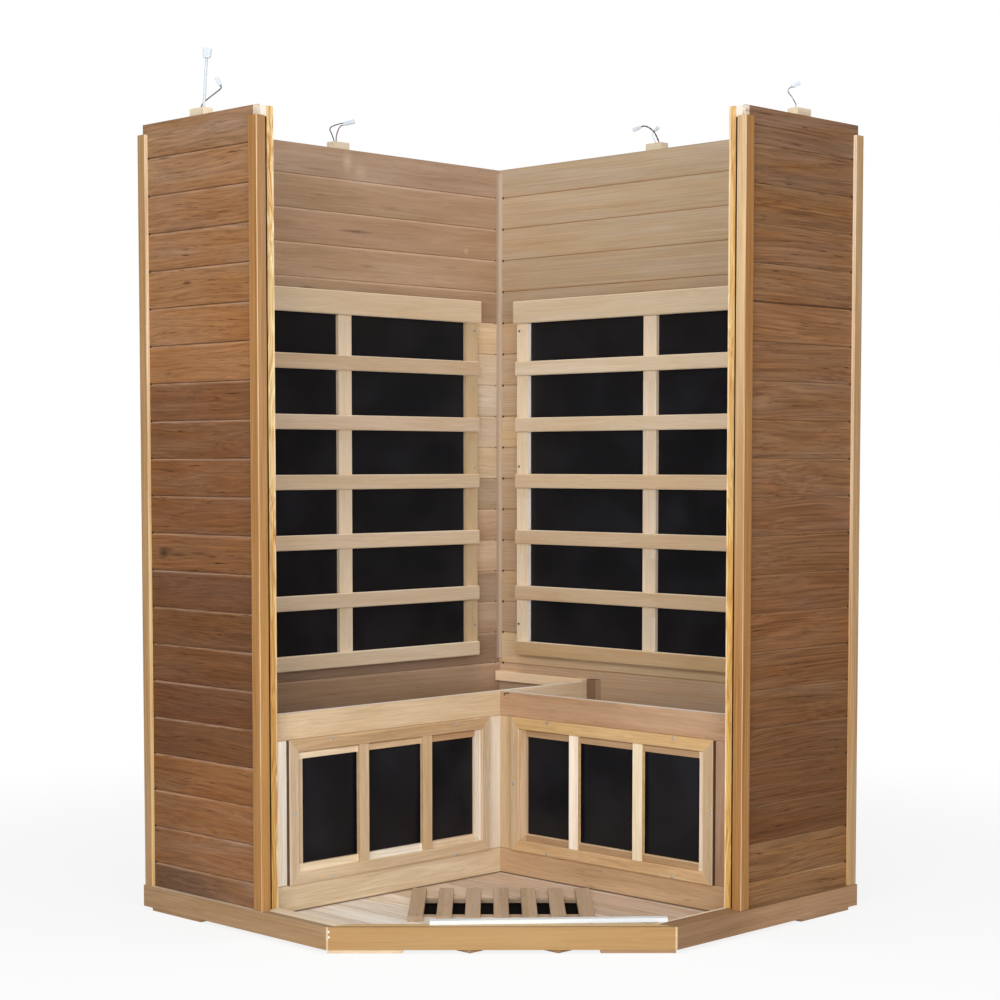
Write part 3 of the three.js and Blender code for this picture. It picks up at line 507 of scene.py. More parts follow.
# dark lines at the rail seams, which along the frame's top and foot also serve as painted shadow lines;
# painted shade at the foot where the panel meets the floor; a painted highlight on the faces turned up
panelEdges = [
    toneZone(seamAndShadowTone, 0.6, z=(windowFoot - 1, windowFoot + 1)),
    toneZone(seamAndShadowTone, 0.6, z=(windowTop - 1, windowTop + 1)),
    toneZone("#4b3525", 0.75, z=(floorTop - 1, floorTop + 3.5)),
    toneZone("#e4dcd0", 0.9, facing=upZ),
]
wholeTurn = 10000.0  # mm, more than any height here
benchLook = {
    # lying wood starts at the window's top and, a whole turn on, ends at its foot
    "upright": {"start": windowTop, "pitch": wholeTurn, "lying": wholeTurn - windowHeight, "top": wholeTurn},
    "shares": {"stain": 0.7, "boards": 0.0},
    "contrast": 0.8,
}
footRail, outerStile = (floorTop, windowFoot), (frameEnd - 5, frameEnd + 90)
benchSides = {
    "left": {"along": "a", "tone": "#ceb390", "marks": 0.08, "seed": 53.4, "zones": [
        toneZone("#d8c3a4", z=footRail),
        toneZone("#e1d3c0", standing=1),
        toneZone("#f7ecdc", x=outerStile, standing=1),
        toneZone("#e6cbaa", x=(-420, -68)),
        *panelEdges]},
    "right": {"along": "b", "tone": "#b39071", "marks": 0.4, "seed": 61.9, "zones": [
        toneZone("#ba9976", z=footRail),
        toneZone("#c7ac87", standing=1),
        toneZone("#ad8970", x=outerStile, standing=1),
        *panelEdges]},
}
# frames over the bench heaters: four mitred members, two bars and the stepped liner behind them
bars = {"near": (frameStart + 198, frameStart + 228), "far": (frameStart + 402, frameStart + 432)}
frameLook = {
    "upright": {"along": ((frameStart + frameEnd) / 2, frameLength / 2),
                "height": ((windowFoot + windowTop) / 2, windowHeight / 2),
                "face": memberWidth, "bars": list(bars.values())},
    "shares": {"lines": 0.7, "stain": 0.5, "boards": 0.1},
    "contrast": 0.8,
    "marks": 0.1,
}
inWindow = (windowFoot + memberWidth + 0.5, windowTop - memberWidth - 0.5)
leftLiner = partial(toneZone, y=(-70, -61))
rightLiner = partial(toneZone, y=(61, 70))
linerOut, linerIn = 27, 46  # the liner's edges, in mm from the frame's outside
linerTop = (windowTop - linerIn, windowTop - linerOut)
linerLow = (windowFoot + linerOut, windowFoot + linerIn)
linerNear = (frameStart + linerOut, frameStart + linerIn)
linerFar = (frameEnd - linerIn, frameEnd - linerOut)
# a painted shadow line where the liner steps under the top member, and a painted highlight on the foot band's
# lip
linerStepShadow, linerLitLip = (linerTop[1] - 4.4, linerTop[1]), (linerLow[1] - 3, linerLow[1])
nearSpan, farSpan = (frameStart, bars["near"][0]), (bars["far"][1], frameEnd)
footMember, farRim = (windowFoot, windowFoot + memberWidth), (frameEnd - 1, frameEnd + 1)
# the liners' bands are painted as they stand to the light: darker on the top bands, in shade under the top
# member, and pale on the left frame's foot band, which takes the light
frameSides = {
    "left": {"along": "a", "tone": "#bd9d78", "seed": 56.4, "zones": [
        toneZone("#cbb292", z=footMember, standing=0),
        toneZone("#c4ad91", standing=1),
        toneZone("#c5a782", x=bars["near"], z=inWindow),
        toneZone("#c6ac8c", x=bars["far"], z=inWindow),
        leftLiner("#d3b592", 0.9, z=linerTop),
        leftLiner("#e5cfaf", 0.9, x=farSpan, z=linerTop),
        leftLiner("#b48c66", 0.9, x=nearSpan, z=linerTop),
        leftLiner("#b08a69", 0.7, x=bars["near"], z=linerTop),
        leftLiner("#8d6644", 0.7, z=linerStepShadow),
        leftLiner("#e9e1d2", 0.95, z=linerLow),
        leftLiner("#e3cfb0", 0.95, x=farSpan, z=linerLow),
        leftLiner("#dcc5a6", 0.95, x=nearSpan, z=linerLow),
        leftLiner("#e2d4c1", 0.9, x=linerNear),
        # the far end's side face is painted dark as shade
        toneZone("#3d2b1f", 0.9, x=farRim, facing=axisA)]},
    "right": {"along": "b", "tone": "#cca979", "seed": 64.9, "zones": [
        toneZone("#cba87e", z=footMember, standing=0),
        toneZone("#c4a988", standing=1),
        toneZone("#b59b7b", x=(frameEnd - 29, frameEnd + 1), standing=1),
        toneZone("#f4e4d0", x=bars["near"], z=inWindow),
        toneZone("#e6d3b3", x=bars["far"], z=inWindow),
        rightLiner("#b0906f", 0.9, z=linerTop),
        rightLiner("#7d5c40", 0.75, z=linerStepShadow),
        rightLiner("#a98868", 0.9, z=linerLow),
        rightLiner("#e2c8a6", 0.7, z=linerLitLip),
        rightLiner("#caab8a", 0.9, x=linerNear),
        rightLiner("#e7d2b7", 0.9, x=linerFar),
        # a painted shade line along the frame's near edge
        toneZone("#8f6d4b", 0.6, x=(frameStart - 1, frameStart + 2.5)),
        # the far end's side face is painted dark as shade
        toneZone("#3d2b1f", 0.9, x=farRim, facing=axisB)]},
}
for side in ("left", "right"):
    dressInWood(f"bench_front_{side}", f"cedar_bench_{side}", benchLook, benchSides[side])
    dressInWood(f"bench_heater_frame_{side}", f"cedar_frame_{side}", frameLook, frameSides[side])

# base: five skirt boards, the front one golden and the others greyer, with lighter top edges
skirtLook = {"shares": {"lines": 0.9, "fibres": 0.4, "stain": 0.5}, "wave": 20, "contrast": 0.8}
skirtPale, skirtEdge = "#ddcbb2", "#80613f"
skirtSides = {
    "front": {"along": "x", "tone": "#a78456", "contrast": 0.45, "zones": [
        toneZone("#c9a978", 0.9, facing=upZ),
        toneZone(skirtEdge, 0.8, y=(-660, -648), facing=upZ),
        toneZone(skirtPale, 0.6, x=(-379, -375.5)),
        toneZone(skirtPale, 0.6, x=(375.5, 379)),
        toneZone("#fdf9f0", spot=(-374.1, 47.9, 2.2, 1.0, 0.7)),  # two filled nails
        toneZone("#fdf9f0", spot=(-373.4, 36.2, 2.2, 1.0, 0.7))]},
    "left": {"along": "b", "tone": "#a2825f", "zones": [
        toneZone(skirtPale, 0.9, facing=upZ),
        toneZone(skirtEdge, 0.8, x=(-22, 900), y=(-736, -714), facing=upZ)]},
    "right": {"along": "a", "tone": "#8d6d51", "zones": [
        # painted light: the skirt is painted lighter towards its rear end
        toneZone("#a37e5d", fade={"X": (60, -140)}),
        toneZone("#8f6f50", 0.9, facing=upZ),
        toneZone("#efe0c8", 0.8, y=(676, 685), facing=upZ)]},
    "back_left": {"along": "a", "tone": "#ab8b68"},
    "back_right": {"along": "b", "tone": "#8b6b50"},
}
for i, (side, look) in enumerate(skirtSides.items()):
    dressInWood(f"base_skirt_{side}", f"lacquered_skirt_{side}", skirtLook, look, seed=71.3 + 2 * i)

# floor boards, the loose grate and what the cabin stands on
deckLook = {
    "boards": ["#d8c8b4"] * 5 + ["#c3aa93", "#c5ae98", "#cbb49d", "#d4bea6", "#e0d0bc", "#e4d9ca",
                                "#dfd5c8", "#e0d5c9"],
    "rows": {"axis": "Y", "start": 403.25, "pitch": 88.0},
    "groove": {"dark": (3.0, 0.75, "#8b6f55"), "pale": (3.0, 0.12, "#efe5d8")},
    "shares": {"lines": 1.0, "stain": 0.5},
    "contrast": 0.85,
    "along": "b",
    "seed": 88.4,
    "marks": 0.3,
    "roughness": 0.6,
}
dressInWood("floor_deck", "spruce_floor", deckLook)
grateLook = {
    "tone": "#b39a80",
    "rows": {"axis": "Y", "start": 211.0 - 14.75, "pitch": 64.5},
    "shares": {"lines": 0.7, "fibres": 0.4, "boards": 0.5},
    "along": "y",
    "seed": 96.1,
    "roughness": 0.6,
}
dressInWood("floor_grate", "hemlock_grate", grateLook)
roughLook = {"tone": "#a58566", "shares": {"lines": 0.6, "fibres": 0.8, "stain": 0.5}, "contrast": 0.7,
             "roughness": 0.8, "relief": 0.6}
dressInWood("base_underframe", "sawn_pine_runner", roughLook, along="b", seed=101.2)
padLooks = {"front_left": {"along": "x", "tone": "#d3bd9e"}, "front_right": {"along": "x"},
            "left": {"along": "b"}, "right": {"along": "a"}}
for i, (foot, look) in enumerate(padLooks.items()):
    dressInWood(f"foot_pad_{foot}", f"sawn_pine_pad_{foot}", roughLook, look, seed=104 + i)

# small pale pieces: seat cleat, guide post and the blocks on the wall tops
blockLook = {"contrast": 0.45, "roughness": 0.65, "shares": {"lines": 0.6, "fibres": 0.4, "stain": 0.4}}
blockTones = {
    "bench_cleat": ("#f3d7b3", "b"), "bench_guide_post": ("#866850", "z"),
    "wire_block_left": ("#e3d4bb", "b"), "wire_block_back_left": ("#d4c4ac", "a"),
    "wire_block_back_right": ("#d6c6ac", "b"), "wire_block_right": ("#dacbb2", "a"),
}
# painted light and shade: the post's face turned towards axisB is painted paler, and its darker base tone
# partly stands for the shade on its other sides
postLitFace = [toneZone("#b59a7c", 0.9, facing=axisB)]  # the post's face on the wall's side
for i, (name, (tone, along)) in enumerate(blockTones.items()):
    zones = postLitFace if name == "bench_guide_post" else []
    dressInWood(name, f"spruce_{name}", blockLook, tone=tone, along=along, zones=zones, seed=110.5 + i)
print("woods on the CAD nodes")


# plain moulded, coated or drawn materials: a base tone with fine mottling, roughness that follows it, and a
# relief of the same mottling or of a weave
plainCoat = {
    "gloss": 0.5,
    "metallic": 0.0,
    "stops": (noiseLow, noiseHigh),  # noise where the first tone ends and the second is full
    "dulls": (noiseLow, noiseHigh),  # the same for the roughness
    "spread": (0.05, 0.06),  # roughness below and above the middle
    "bump": (0.1, 0.0002),  # strength, and height in metres
}


def makeCoated(name, look):
    look = {**plainCoat, **look}
    material, tree, shader = newMaterial(name, {"IOR": 1.5, "Metallic": look["metallic"],
                                                "Specular IOR Level": look["gloss"]})
    add = partial(addNode, tree)
    coords = add("TexCoord").outputs["Object"]
    mottle = add("TexNoise", {"Vector": coords, "Scale": 1000 / look["mottleMm"], "Detail": 3.0})
    weave = mottle
    if "threadMm" in look:
        weave = add("TexNoise", {"Vector": coords, "Scale": 1000 / look["threadMm"], "Detail": 1.0})
    ramp = add("ValToRGB", {0: mottle}, zip(look["stops"], look["tones"]))
    (low, high), (less, more) = look["dulls"], look["spread"]
    rough = look["roughness"]
    dull = add("MapRange", {0: mottle, 1: low, 2: high, 3: rough - less, 4: rough + more})
    strength, height = look["bump"]
    bump = add("Bump", {"Height": weave, "Strength": strength, "Distance": height})
    setInputs(tree, shader, {"Base Color": ramp, "Roughness": dull, "Normal": bump})
    return material


vinylTones = {"white": ("#c3cad2", "#d0d6dd"), "black": ("#14161c", "#22252d"),
              "grey": ("#8b98a6", "#a3aeba"), "red": ("#521826", "#6b2233")}
coatLooks = {
    # carbon heater panels: black woven film under a matt clear coat, dulled here and there by a little dust
    "carbon_heater_film": {"tones": ("#111217", "#1c1d23"), "mottleMm": 140.0, "threadMm": 3.0,
                           "roughness": 0.34, "gloss": 0.22, "stops": (0.45, 0.8), "dulls": (0.35, 0.75),
                           "spread": (0.06, 0.16), "bump": (0.08, 0.0003)},
    # powder coat on the sill: white, with a fine skin that spreads its highlights
    "white_powder_coat": {"tones": ("#dde4e8", "#e8eef1"), "mottleMm": 2.5, "roughness": 0.35},
    # moulded nylon of the plugs: cool, milky and half matt
    "white_nylon": {"tones": ("#bcc5d0", "#ccd4dd"), "mottleMm": 3.0, "roughness": 0.45},
    # drawn PVC round the leads: an even tone with a soft gloss
    **{f"{hue}_vinyl": {"tones": tones, "mottleMm": 4.0, "roughness": 0.4}
       for hue, tones in vinylTones.items()},
    # zinc on the screws: bright and bluish, and dull on the older ones
    "zinc_plate": {"tones": ("#9fb3c6", "#c2d2de"), "mottleMm": 1.5, "roughness": 0.3, "metallic": 1.0},
    "dark_zinc_plate": {"tones": ("#3c4454", "#5b6577"), "mottleMm": 1.5, "roughness": 0.4, "metallic": 0.7},
    # the staple's steel: brown with rust, with little shine left
    "rusty_steel": {"tones": ("#241812", "#37271d"), "mottleMm": 1.5, "roughness": 0.6, "metallic": 0.3},
    # sunk brads: painted shade, dark as the hole and groove end that each one sits in
    "dark_nail_hole": {"tones": ("#241710", "#35231a"), "mottleMm": 2.0, "roughness": 0.8},
    # floor heater's film under the grate: black, and sends almost no light back
    "matt_carbon_film": {"tones": ("#050506", "#09090b"), "mottleMm": 8.0, "roughness": 0.8, "gloss": 0.05},
}
coats = {name: makeCoated(name, look) for name, look in coatLooks.items()}
for name in ("wall_heater_left", "wall_heater_right", "bench_heater_left", "bench_heater_right"):
    dress(name, coats["carbon_heater_film"])
dress("door_sill_strip", coats["white_powder_coat"])
dress("floor_heater", coats["matt_carbon_film"])
print("plain materials")


# angles of points round a ring
def ringTurn(sides):
    return np.arange(sides) * 2 * math.pi / sides


# puts points and faces into a mesh and hangs it on its body
def newPiece(name, points, faces, material, body, smooth=True):
    mesh = bpy.data.meshes.new(name)
    mesh.from_pydata(np.reshape(points, (-1, 3)).tolist(), [], faces)
    mesh.materials.append(material)
    mesh.polygons.foreach_set("use_smooth", np.full(len(mesh.polygons), smooth))
    mesh.update()
    piece = bpy.data.objects.new(name, mesh)
    link(piece)
    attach(piece, body)
    return piece


# quads of a grid of points whose columns close on themselves, with its first and last rows capped
def ringFaces(rows, columns, start=0):
    row, column = np.meshgrid(np.arange(rows - 1), np.arange(columns), indexing="ij")
    nextColumn = (column + 1) % columns
    quads = np.stack([row * columns + column, row * columns + nextColumn,
                      (row + 1) * columns + nextColumn, (row + 1) * columns + column], -1)
    ring = np.arange(columns) + start
    caps = [ring[::-1].tolist(), (ring + (rows - 1) * columns).tolist()]
    return (quads.reshape(-1, 4) + start).tolist() + caps


# a smooth line through the points: each span is a cubic, and its end slopes come from the spans on both
# sides, weighed by the square roots of their lengths, with a mirrored point beyond either end
def smoothRoute(points, perSpan):
    points = np.asarray(points, float)
    padded = np.vstack([2 * points[0] - points[1], points, 2 * points[-1] - points[-2]])
    p0, p1, p2, p3 = padded[:-3], padded[1:-2], padded[2:-1], padded[3:]
    d0, d1, d2 = (np.linalg.norm(q - p, axis=1)[:, None] ** 0.5 for p, q in ((p0, p1), (p1, p2), (p2, p3)))
    slope1 = d1 * ((p1 - p0) / d0 - (p2 - p0) / (d0 + d1) + (p2 - p1) / d1)
    slope2 = d1 * ((p2 - p1) / d1 - (p3 - p1) / (d1 + d2) + (p3 - p2) / d2)
    t = (np.arange(perSpan) / perSpan)[None, :, None]
    a, b, s, e = (v[:, None, :] for v in (p1, p2, slope1, slope2))
    spans = a + s * t + (3 * b - 3 * a - 2 * s - e) * t**2 + (2 * a - 2 * b + s + e) * t**3
    return np.vstack([spans.reshape(-1, 3), points[-1]])


# a profile carried along a route that lies in a plane: its first number goes sideways in the plane, its
# second towards the plane's back, and twist turns it on the way
def carryAlong(route, profile, twist=0.0, back=(0.0, 1.0, 0.0)):
    forward = np.gradient(route, axis=0)
    forward /= np.linalg.norm(forward, axis=1)[:, None]
    back = np.tile(back, (len(route), 1))
    side = np.cross(forward, back)
    side /= np.linalg.norm(side, axis=1)[:, None]
    travel = np.concatenate([[0], np.cumsum(np.linalg.norm(np.diff(route, axis=0), axis=1))])
    angle = (twist * travel)[:, None, None]
    u, v = profile[None, :, :1], profile[None, :, 1:]
    across = u * np.cos(angle) - v * np.sin(angle)
    behind = u * np.sin(angle) + v * np.cos(angle)
    return route[:, None, :] + across * side[:, None, :] + behind * back[:, None, :]


blockTops = {
    "left": (-679.53, -310.07, 1859.6),
    "back_left": (-405.9, 202.6, 1859.6),
    "back_right": (394.6, 213.9, 1859.6),
    "right": (676.7, -312.9, 1859.6),
}
# every lead's points in mm from the middle of its block's top; it leaves the block straight up
plainLead = {"diameter": 2.6, "coat": "black_vinyl", "slot": "black_wire", "stiffness": "medium"}
leadLooks = {
    "lamp_cable": {
        "block": "left", "diameter": 6.0, "coat": "white_vinyl", "slot": "white_cable", "stiffness": "stiff",
        "points": [(7.5, -8, 12), (9.5, -8, 32), (11.5, -8, 74), (14.5, -8, 112)]},
    "left_lead": {
        "block": "left",
        "points": [(-0.5, 3, 4), (4, 3, 13), (14, 3, 22), (26, 3, 31.2), (35, 3, 38), (41.5, 3, 43),
                   (45, 3, 46.8), (45.3, 3, 49.6), (43.9, 3, 52.4)]},
    "back_left_lead_black": {
        "block": "back_left",
        "points": [(-10, 0, 4), (-13, 0, 13.5), (-17, 0, 24.5), (-20.5, 0, 32), (-17.5, 0, 38.5),
                   (-7, 0, 43.5), (5, 0, 47), (12.8, 0, 48.9)]},
    "back_left_lead_red": {
        "block": "back_left", "coat": "red_vinyl", "slot": "red_wire",
        "points": [(-5, 0, 4), (-4.5, 0, 14.5), (-1, 0, 28), (3, 0, 36.5), (8, 0, 42), (14, 0, 43.9)]},
    "back_right_lead": {
        "block": "back_right", "diameter": 3.8, "pair": "red_vinyl",
        "points": [(4.4, 0, 5), (0.5, 0, 14), (-5.6, 0, 26.4), (-14.6, 0, 35.8), (-24.6, 0, 41.8),
                   (-34, 0, 43.4), (-41, 0, 41)]},
    "back_right_second_lead": {
        "block": "back_right", "coat": "white_vinyl", "slot": "white_cable",
        "points": [(-3, 6, 4), (-6.5, 12, 13), (-9, 19, 23), (-8, 24.5, 31), (-3.5, 26, 36)]},
    "right_lead": {
        "block": "right", "pair": "grey_vinyl",
        "points": [(-7.7, 0, 4), (-8.7, 0, 11), (-12.7, 0, 19.4), (-17.7, 0, 27.4), (-23.5, 0, 34.4),
                   (-26, 0, 40.5), (-24, 0, 45.5), (-17.2, 0, 49.7)]},
}
leadLooks = {name: {**plainLead, **look} for name, look in leadLooks.items()}
tubeSides = 20
leadSteps = 34  # points along a lead, about
leadGap = 0.3  # mm between a lead's end and its block
pairWaist = 0.55  # a twisted pair's width between its wires, as a share of its whole width
leadTwist = 2 * math.pi / 0.021  # two wires turn round each other every 21 mm
leads, leadRoutes = {}, {}
for name, look in leadLooks.items():
    start = (*look["points"][0][:2], leadGap)
    points = (np.array([start, *look["points"]]) + blockTops[look["block"]]) * mm
    route = smoothRoute(points, max(3, round(leadSteps / len(look["points"]))))
    turn = ringTurn(tubeSides)
    radius = look["diameter"] / 2 * mm
    profile = radius * np.stack([np.cos(turn), np.sin(turn)], 1)
    if "pair" in look:  # two round wires side by side: the waist between them is narrow
        profile = profile * (pairWaist + (1 - pairWaist) * np.abs(np.cos(turn)))[:, None]
    points = carryAlong(route, profile, leadTwist if "pair" in look else 0.0)
    lead = newPiece(name + "_wire", points, ringFaces(len(route), tubeSides), coats[look["coat"]], "cabin")
    if "pair" in look:
        lead.data.materials.append(coats[look["pair"]])
        sector = np.tile(np.arange(tubeSides), len(route) - 1)
        second = np.concatenate([(sector >= tubeSides / 4) & (sector < 3 * tubeSides / 4), [False, False]])
        lead.data.polygons.foreach_set("material_index", second.astype(np.int32))
    if name in nodes:
        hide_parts(name)
    leads[name], leadRoutes[name] = lead, route
print("leads:", len(leads))


# Crimp housing: a rounded rectangle carried along the plug's axis, its half height and half width set at
# each station: neck, shoulder, body with two grip grooves, rim, and the socket that goes back inside
def plugPoints(middle, axis, length, height, width):
    back = np.array([0.0, 1.0, 0.0])
    side = np.cross(axis, back)
    stations = np.array([  # place along the plug, then shares of half height and half width
        (0.3 / length, 0.60, 0.70), (0.3 / length, 0.80, 0.88), (3.6 / length, 0.80, 0.88),
        (4.2 / length, 0.97, 0.96), (0.30, 1.0, 1.0), (0.38, 1.0, 1.0), (0.40, 0.92, 0.93),
        (0.45, 0.92, 0.93), (0.47, 1.0, 1.0), (0.55, 1.0, 1.0), (0.57, 0.92, 0.93), (0.62, 0.92, 0.93),
        (0.64, 1.0, 1.0), (0.97, 1.0, 1.0), (1.0, 0.96, 0.96), (1.0, 0.74, 0.72), (0.72, 0.70, 0.68)])
    turn = ringTurn(plugSides)
    corner = 0.32  # low powers make a squarer outline
    u = np.sign(np.cos(turn)) * np.abs(np.cos(turn)) ** corner
    v = np.sign(np.sin(turn)) * np.abs(np.sin(turn)) ** corner
    place = stations[:, 0] * length * mm
    up = stations[:, 1, None] * u * height / 2 * mm
    deep = stations[:, 2, None] * v * width / 2 * mm
    return middle + place[:, None, None] * axis + up[..., None] * side + deep[..., None] * back


plugSides, plugWidth = 24, 8.0
plainPlug = (20.0, 9.0, plugWidth)  # mm long, high and wide
plugLooks = {
    "lamp_plug": {"leads": ["lamp_cable"], "size": (22.0, 19.0, plugWidth)},
    "left_plug": {"leads": ["left_lead"], "size": plainPlug},
    "back_left_plug": {"leads": ["back_left_lead_black", "back_left_lead_red"],
                       "size": (29.0, 10.5, plugWidth)},
    "back_right_plug": {"leads": ["back_right_lead"], "size": plainPlug},
    "back_right_second_plug": {"leads": ["back_right_second_lead"], "size": (14.0, 9.0, plugWidth)},
    "right_plug": {"leads": ["right_lead"], "size": plainPlug},
}
for name, look in plugLooks.items():
    ends = [leadRoutes[lead] for lead in look["leads"]]
    middle = np.mean([route[-1] for route in ends], axis=0)
    axis = np.sum([(r[-1] - r[-2]) / np.linalg.norm(r[-1] - r[-2]) for r in ends], axis=0)
    axis /= np.linalg.norm(axis)
    points = plugPoints(middle, axis, *look["size"])
    newPiece(name + "_housing", points, ringFaces(*points.shape[:2]), coats["white_nylon"],
                           "cabin", smooth=False)
    if name in nodes:
        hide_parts(name)
for name, look in leadLooks.items():
    route = leadRoutes[name]


headGrid = {"sides": 32, "rings": [1.0, 1.0, 0.92, 0.78, 0.62, 0.5, 0.4, 0.3, 0.2, 0.1]}
domeLook = {"flat": 0.96, "sunk": 0.2}  # how far the dome comes down, and how far its rim goes into the wood
crossLook = {"turn": 0.4, "arm": 0.16, "slope": 0.06, "reach": 0.66, "end": 0.1}  # shares of the radius


# Screw and nail heads: a low dome over radius and angle; a cross recess sinks where the radius is inside
# its arms and the point is near one of two lines through the middle
def headPoints(spots, normal, radius, rise, cross):
    right = np.cross(upZ, normal)
    up = np.cross(normal, right)
    turn = ringTurn(headGrid["sides"])
    r, a = np.meshgrid(headGrid["rings"], turn, indexing="ij")
    dome = np.sqrt(np.clip(1 - (r * domeLook["flat"]) ** 2, 0, 1))
    dome[0] = -domeLook["sunk"]
    lines = a + crossLook["turn"]
    near = np.minimum(np.abs(r * np.sin(lines)), np.abs(r * np.cos(lines)))
    arms = np.clip((crossLook["arm"] - near) / crossLook["slope"], 0, 1)
    sink = cross * arms * np.clip((crossLook["reach"] - r) / crossLook["end"], 0, 1)
    height = rise * (dome - sink)
    local = (radius * (r * np.cos(a))[..., None] * right + radius * (r * np.sin(a))[..., None] * up
             + height[..., None] * normal)
    return spots[:, None, None, :] + local * mm


# heads on an upright face that looks along one of the back walls: mm along it and above the ground
def newHeads(name, facing, face, along, height, look, coat, body):
    spots = cabinPoint(face, along, height) if facing == "a" else cabinPoint(along, face, height)
    points = headPoints(spots, axisA if facing == "a" else axisB, **look)
    count, rows, columns = points.shape[:3]
    faces = []
    for i in range(count):
        faces += ringFaces(rows, columns, i * rows * columns)
    newPiece(name, points, faces, coats[coat], body)


screwLook = {"radius": 3.4, "rise": 1.3, "cross": 1.1}
inward = {"left": "b", "right": "a"}  # the way that the benches and guards of a side face
frameFace = benchFace + 12.0  # front of the bench frames
benchScrews = {
    "left": [(561, 391), (161, 391), (675, 229), (51.7, 229.5), (563, 68.7), (163, 68.7)],
    "right": [(172.6, 392.3), (574.8, 392.3), (57.7, 232), (686, 230.4), (170, 69), (572, 68.7)],
}
for side, spots in benchScrews.items():
    along, height = np.array(spots).T + np.array([[benchFace], [floorTop]])
    newHeads(f"bench_frame_screws_{side}", inward[side], frameFace, along, height, screwLook, "zinc_plate",
             f"bench_{side}")
stileFace = liningFace + 20.0  # front of the guards' stiles
stileScrews = {
    "left": ("zinc_plate", [(172, 1407.5), (170.5, 1046), (171, 627)]),
    "right": ("dark_zinc_plate", [(152.5, 1408), (151.6, 1048.5), (150.6, 627.5)]),
}
for side, (coat, spots) in stileScrews.items():
    along, height = np.array(spots).T
    newHeads(f"grille_screws_{side}", inward[side], stileFace, along, height, screwLook, coat, "cabin")

# brads in the grooves' ends beside the rear trims and the inner bead, dark with painted shade
bradLook = {"radius": 3.1, "rise": 0.35, "cross": 0.0}
smallBrad = {"radius": 1.7, "rise": 0.3, "cross": 0.0}
outerSeams = outerRows["start"] - outerRows["pitch"] * np.arange(20)
liningSeams = liningRows["start"] - liningRows["pitch"] * np.arange(16)
rearTrimEdge = 34.0  # just past the rear trims, in mm from the back corner
beadEdge = liningFace + 14.5  # just past the inner bead
bradRows = {
    "brads_left": ("a", outerFace, rearTrimEdge, outerSeams, bradLook, "outer_board"),
    "brads_right": ("b", outerFace, rearTrimEdge, outerSeams, bradLook, "outer_board"),
    "brads_back_left": ("b", liningFace, beadEdge, liningSeams, smallBrad, "lining"),
    "brads_back_right": ("a", liningFace, beadEdge, liningSeams, bradLook, "lining"),
}
for name, (facing, face, along, heights, look, slot) in bradRows.items():
    newHeads(name, facing, face, along, heights, look, "dark_nail_hole", "cabin")

# a bent staple left near the top of the right bench front: a round wire carried along its bend
stapleLook = {"wire": 2.2, "sides": 12,
              "points": [(397.8, 412.6, 479.9), (399.1, 413.4, 481.6), (399.2, 416.5, 485.3),
                         (399.2, 422.8, 486.8), (399.1, 427.8, 486.2), (397.8, 429.4, 485.9)]}
route = smoothRoute(cabinPoint(*np.array(stapleLook["points"]).T), 6)
turn = ringTurn(stapleLook["sides"])
profile = stapleLook["wire"] / 2 * mm * np.stack([np.cos(turn), np.sin(turn)], 1)
newPiece("bench_staple", carryAlong(route, profile, back=-axisA), ringFaces(len(route), stapleLook["sides"]),
         coats["rusty_steel"], "bench_right")
print("screws and nails")


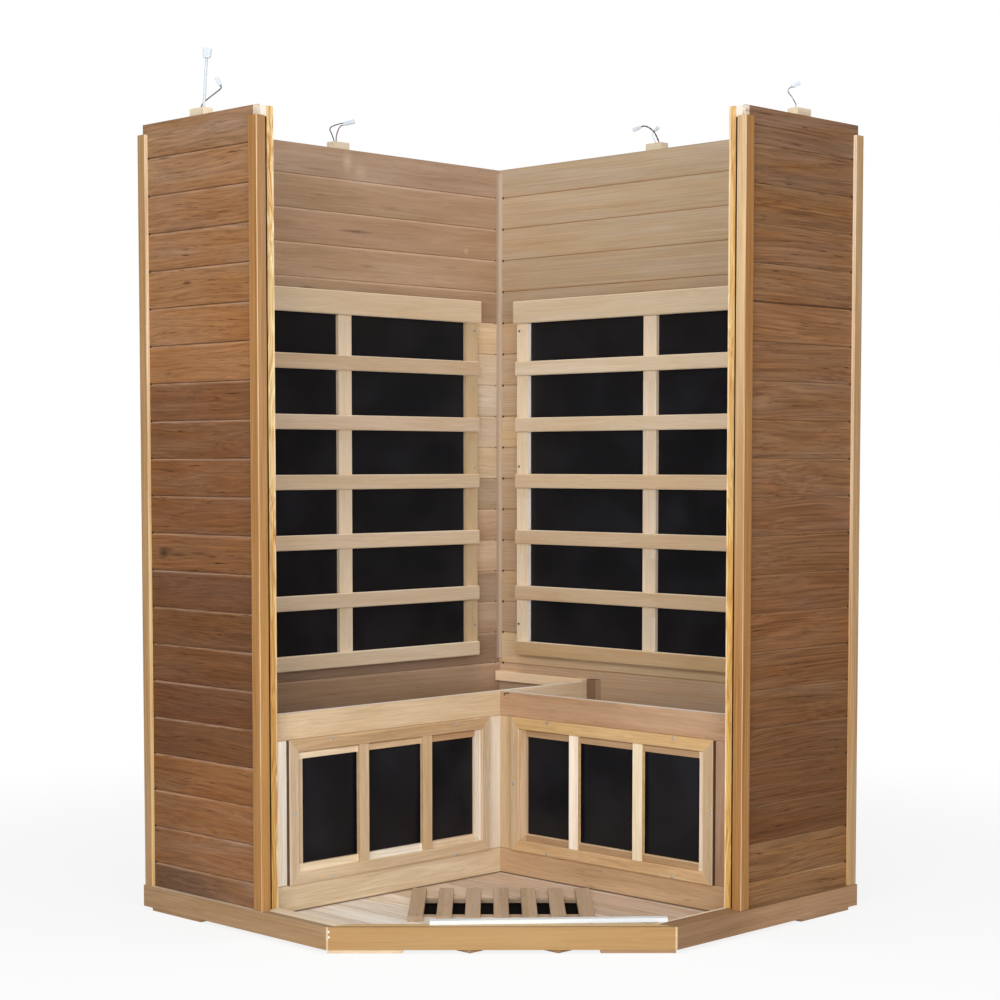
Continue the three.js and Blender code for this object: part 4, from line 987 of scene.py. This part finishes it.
# studio: a white floor that keeps the shadow, a white surround and soft lamps in front
paperLook = {"colour": "#f4f4f4", "size": 40.0, "near": 1.3, "far": 2.8, "white": 0.84}
mesh = bpy.data.meshes.new("studio_floor")
reach = paperLook["size"]
mesh.from_pydata([(-reach, -reach, 0), (reach, -reach, 0), (reach, reach, 0), (-reach, reach, 0)], [],
                 [(0, 1, 2, 3)])
floor = bpy.data.objects.new("studio_floor", mesh)
link(floor)
material, tree, shader = newMaterial("studio_paper", {"Base Color": linearColour(paperLook["colour"]),
                                                      "Roughness": 0.9, "Specular IOR Level": 0.1})
add = partial(addNode, tree)
coords = add("TexCoord").outputs["Object"]
away = add("VectorMath", {0: coords}, operation="LENGTH").outputs["Value"]
fade = {1: paperLook["near"], 2: paperLook["far"], 3: paperLook["white"], 4: 1.0}
share = add("MapRange", {0: away, **fade}, interpolation_type="SMOOTHSTEP")
rays = add("LightPath").outputs
share = add("Math", {0: share, 1: rays["Is Camera Ray"]}, operation="MULTIPLY")
glow = add("Emission", {"Color": (1, 1, 1, 1), "Strength": 1.0})
mixed = add("MixShader", {0: share, 1: shader, 2: glow})
setInputs(tree, tree.nodes["Material Output"], {"Surface": mixed})
mesh.materials.append(material)

worldLook = {"ambient": 0.26}
world = bpy.data.worlds.new("studio")
world.use_nodes = True
bpy.context.scene.world = world
tree = world.node_tree
add = partial(addNode, tree)
rays = add("LightPath").outputs
dim = add("Background", {"Color": (1, 1, 1, 1), "Strength": worldLook["ambient"]})
white = add("Background", {"Color": (1, 1, 1, 1), "Strength": 1.0})
mixed = add("MixShader", {0: rays["Is Camera Ray"], 1: dim, 2: white})
setInputs(tree, tree.nodes["World Output"], {"Surface": mixed})

lampLooks = {
    "key": {"place": (-1.4, -5.4, 1.8), "size": 2.6, "power": 160.0},
    "fill": {"place": (1.8, -5.4, 1.4), "size": 2.6, "power": 106.0},
    "top": {"place": (0.0, -0.6, 5.2), "size": 2.5, "power": 110.0},
}
aim = np.array([0.0, 0.1, 0.95])
for name, look in lampLooks.items():
    lamp = bpy.data.lights.new(name, "AREA")
    lamp.shape = "SQUARE"
    lamp.size = look["size"]
    lamp.energy = look["power"]
    holder = bpy.data.objects.new(name, lamp)
    toward = aim - np.array(look["place"])
    toward /= np.linalg.norm(toward)
    holder.location = look["place"]
    holder.rotation_euler = (math.acos(-toward[2]), 0, math.atan2(toward[1], toward[0]) - math.pi / 2)
    link(holder)

bpy.context.scene.view_settings.view_transform = "Standard"
print("studio ready")
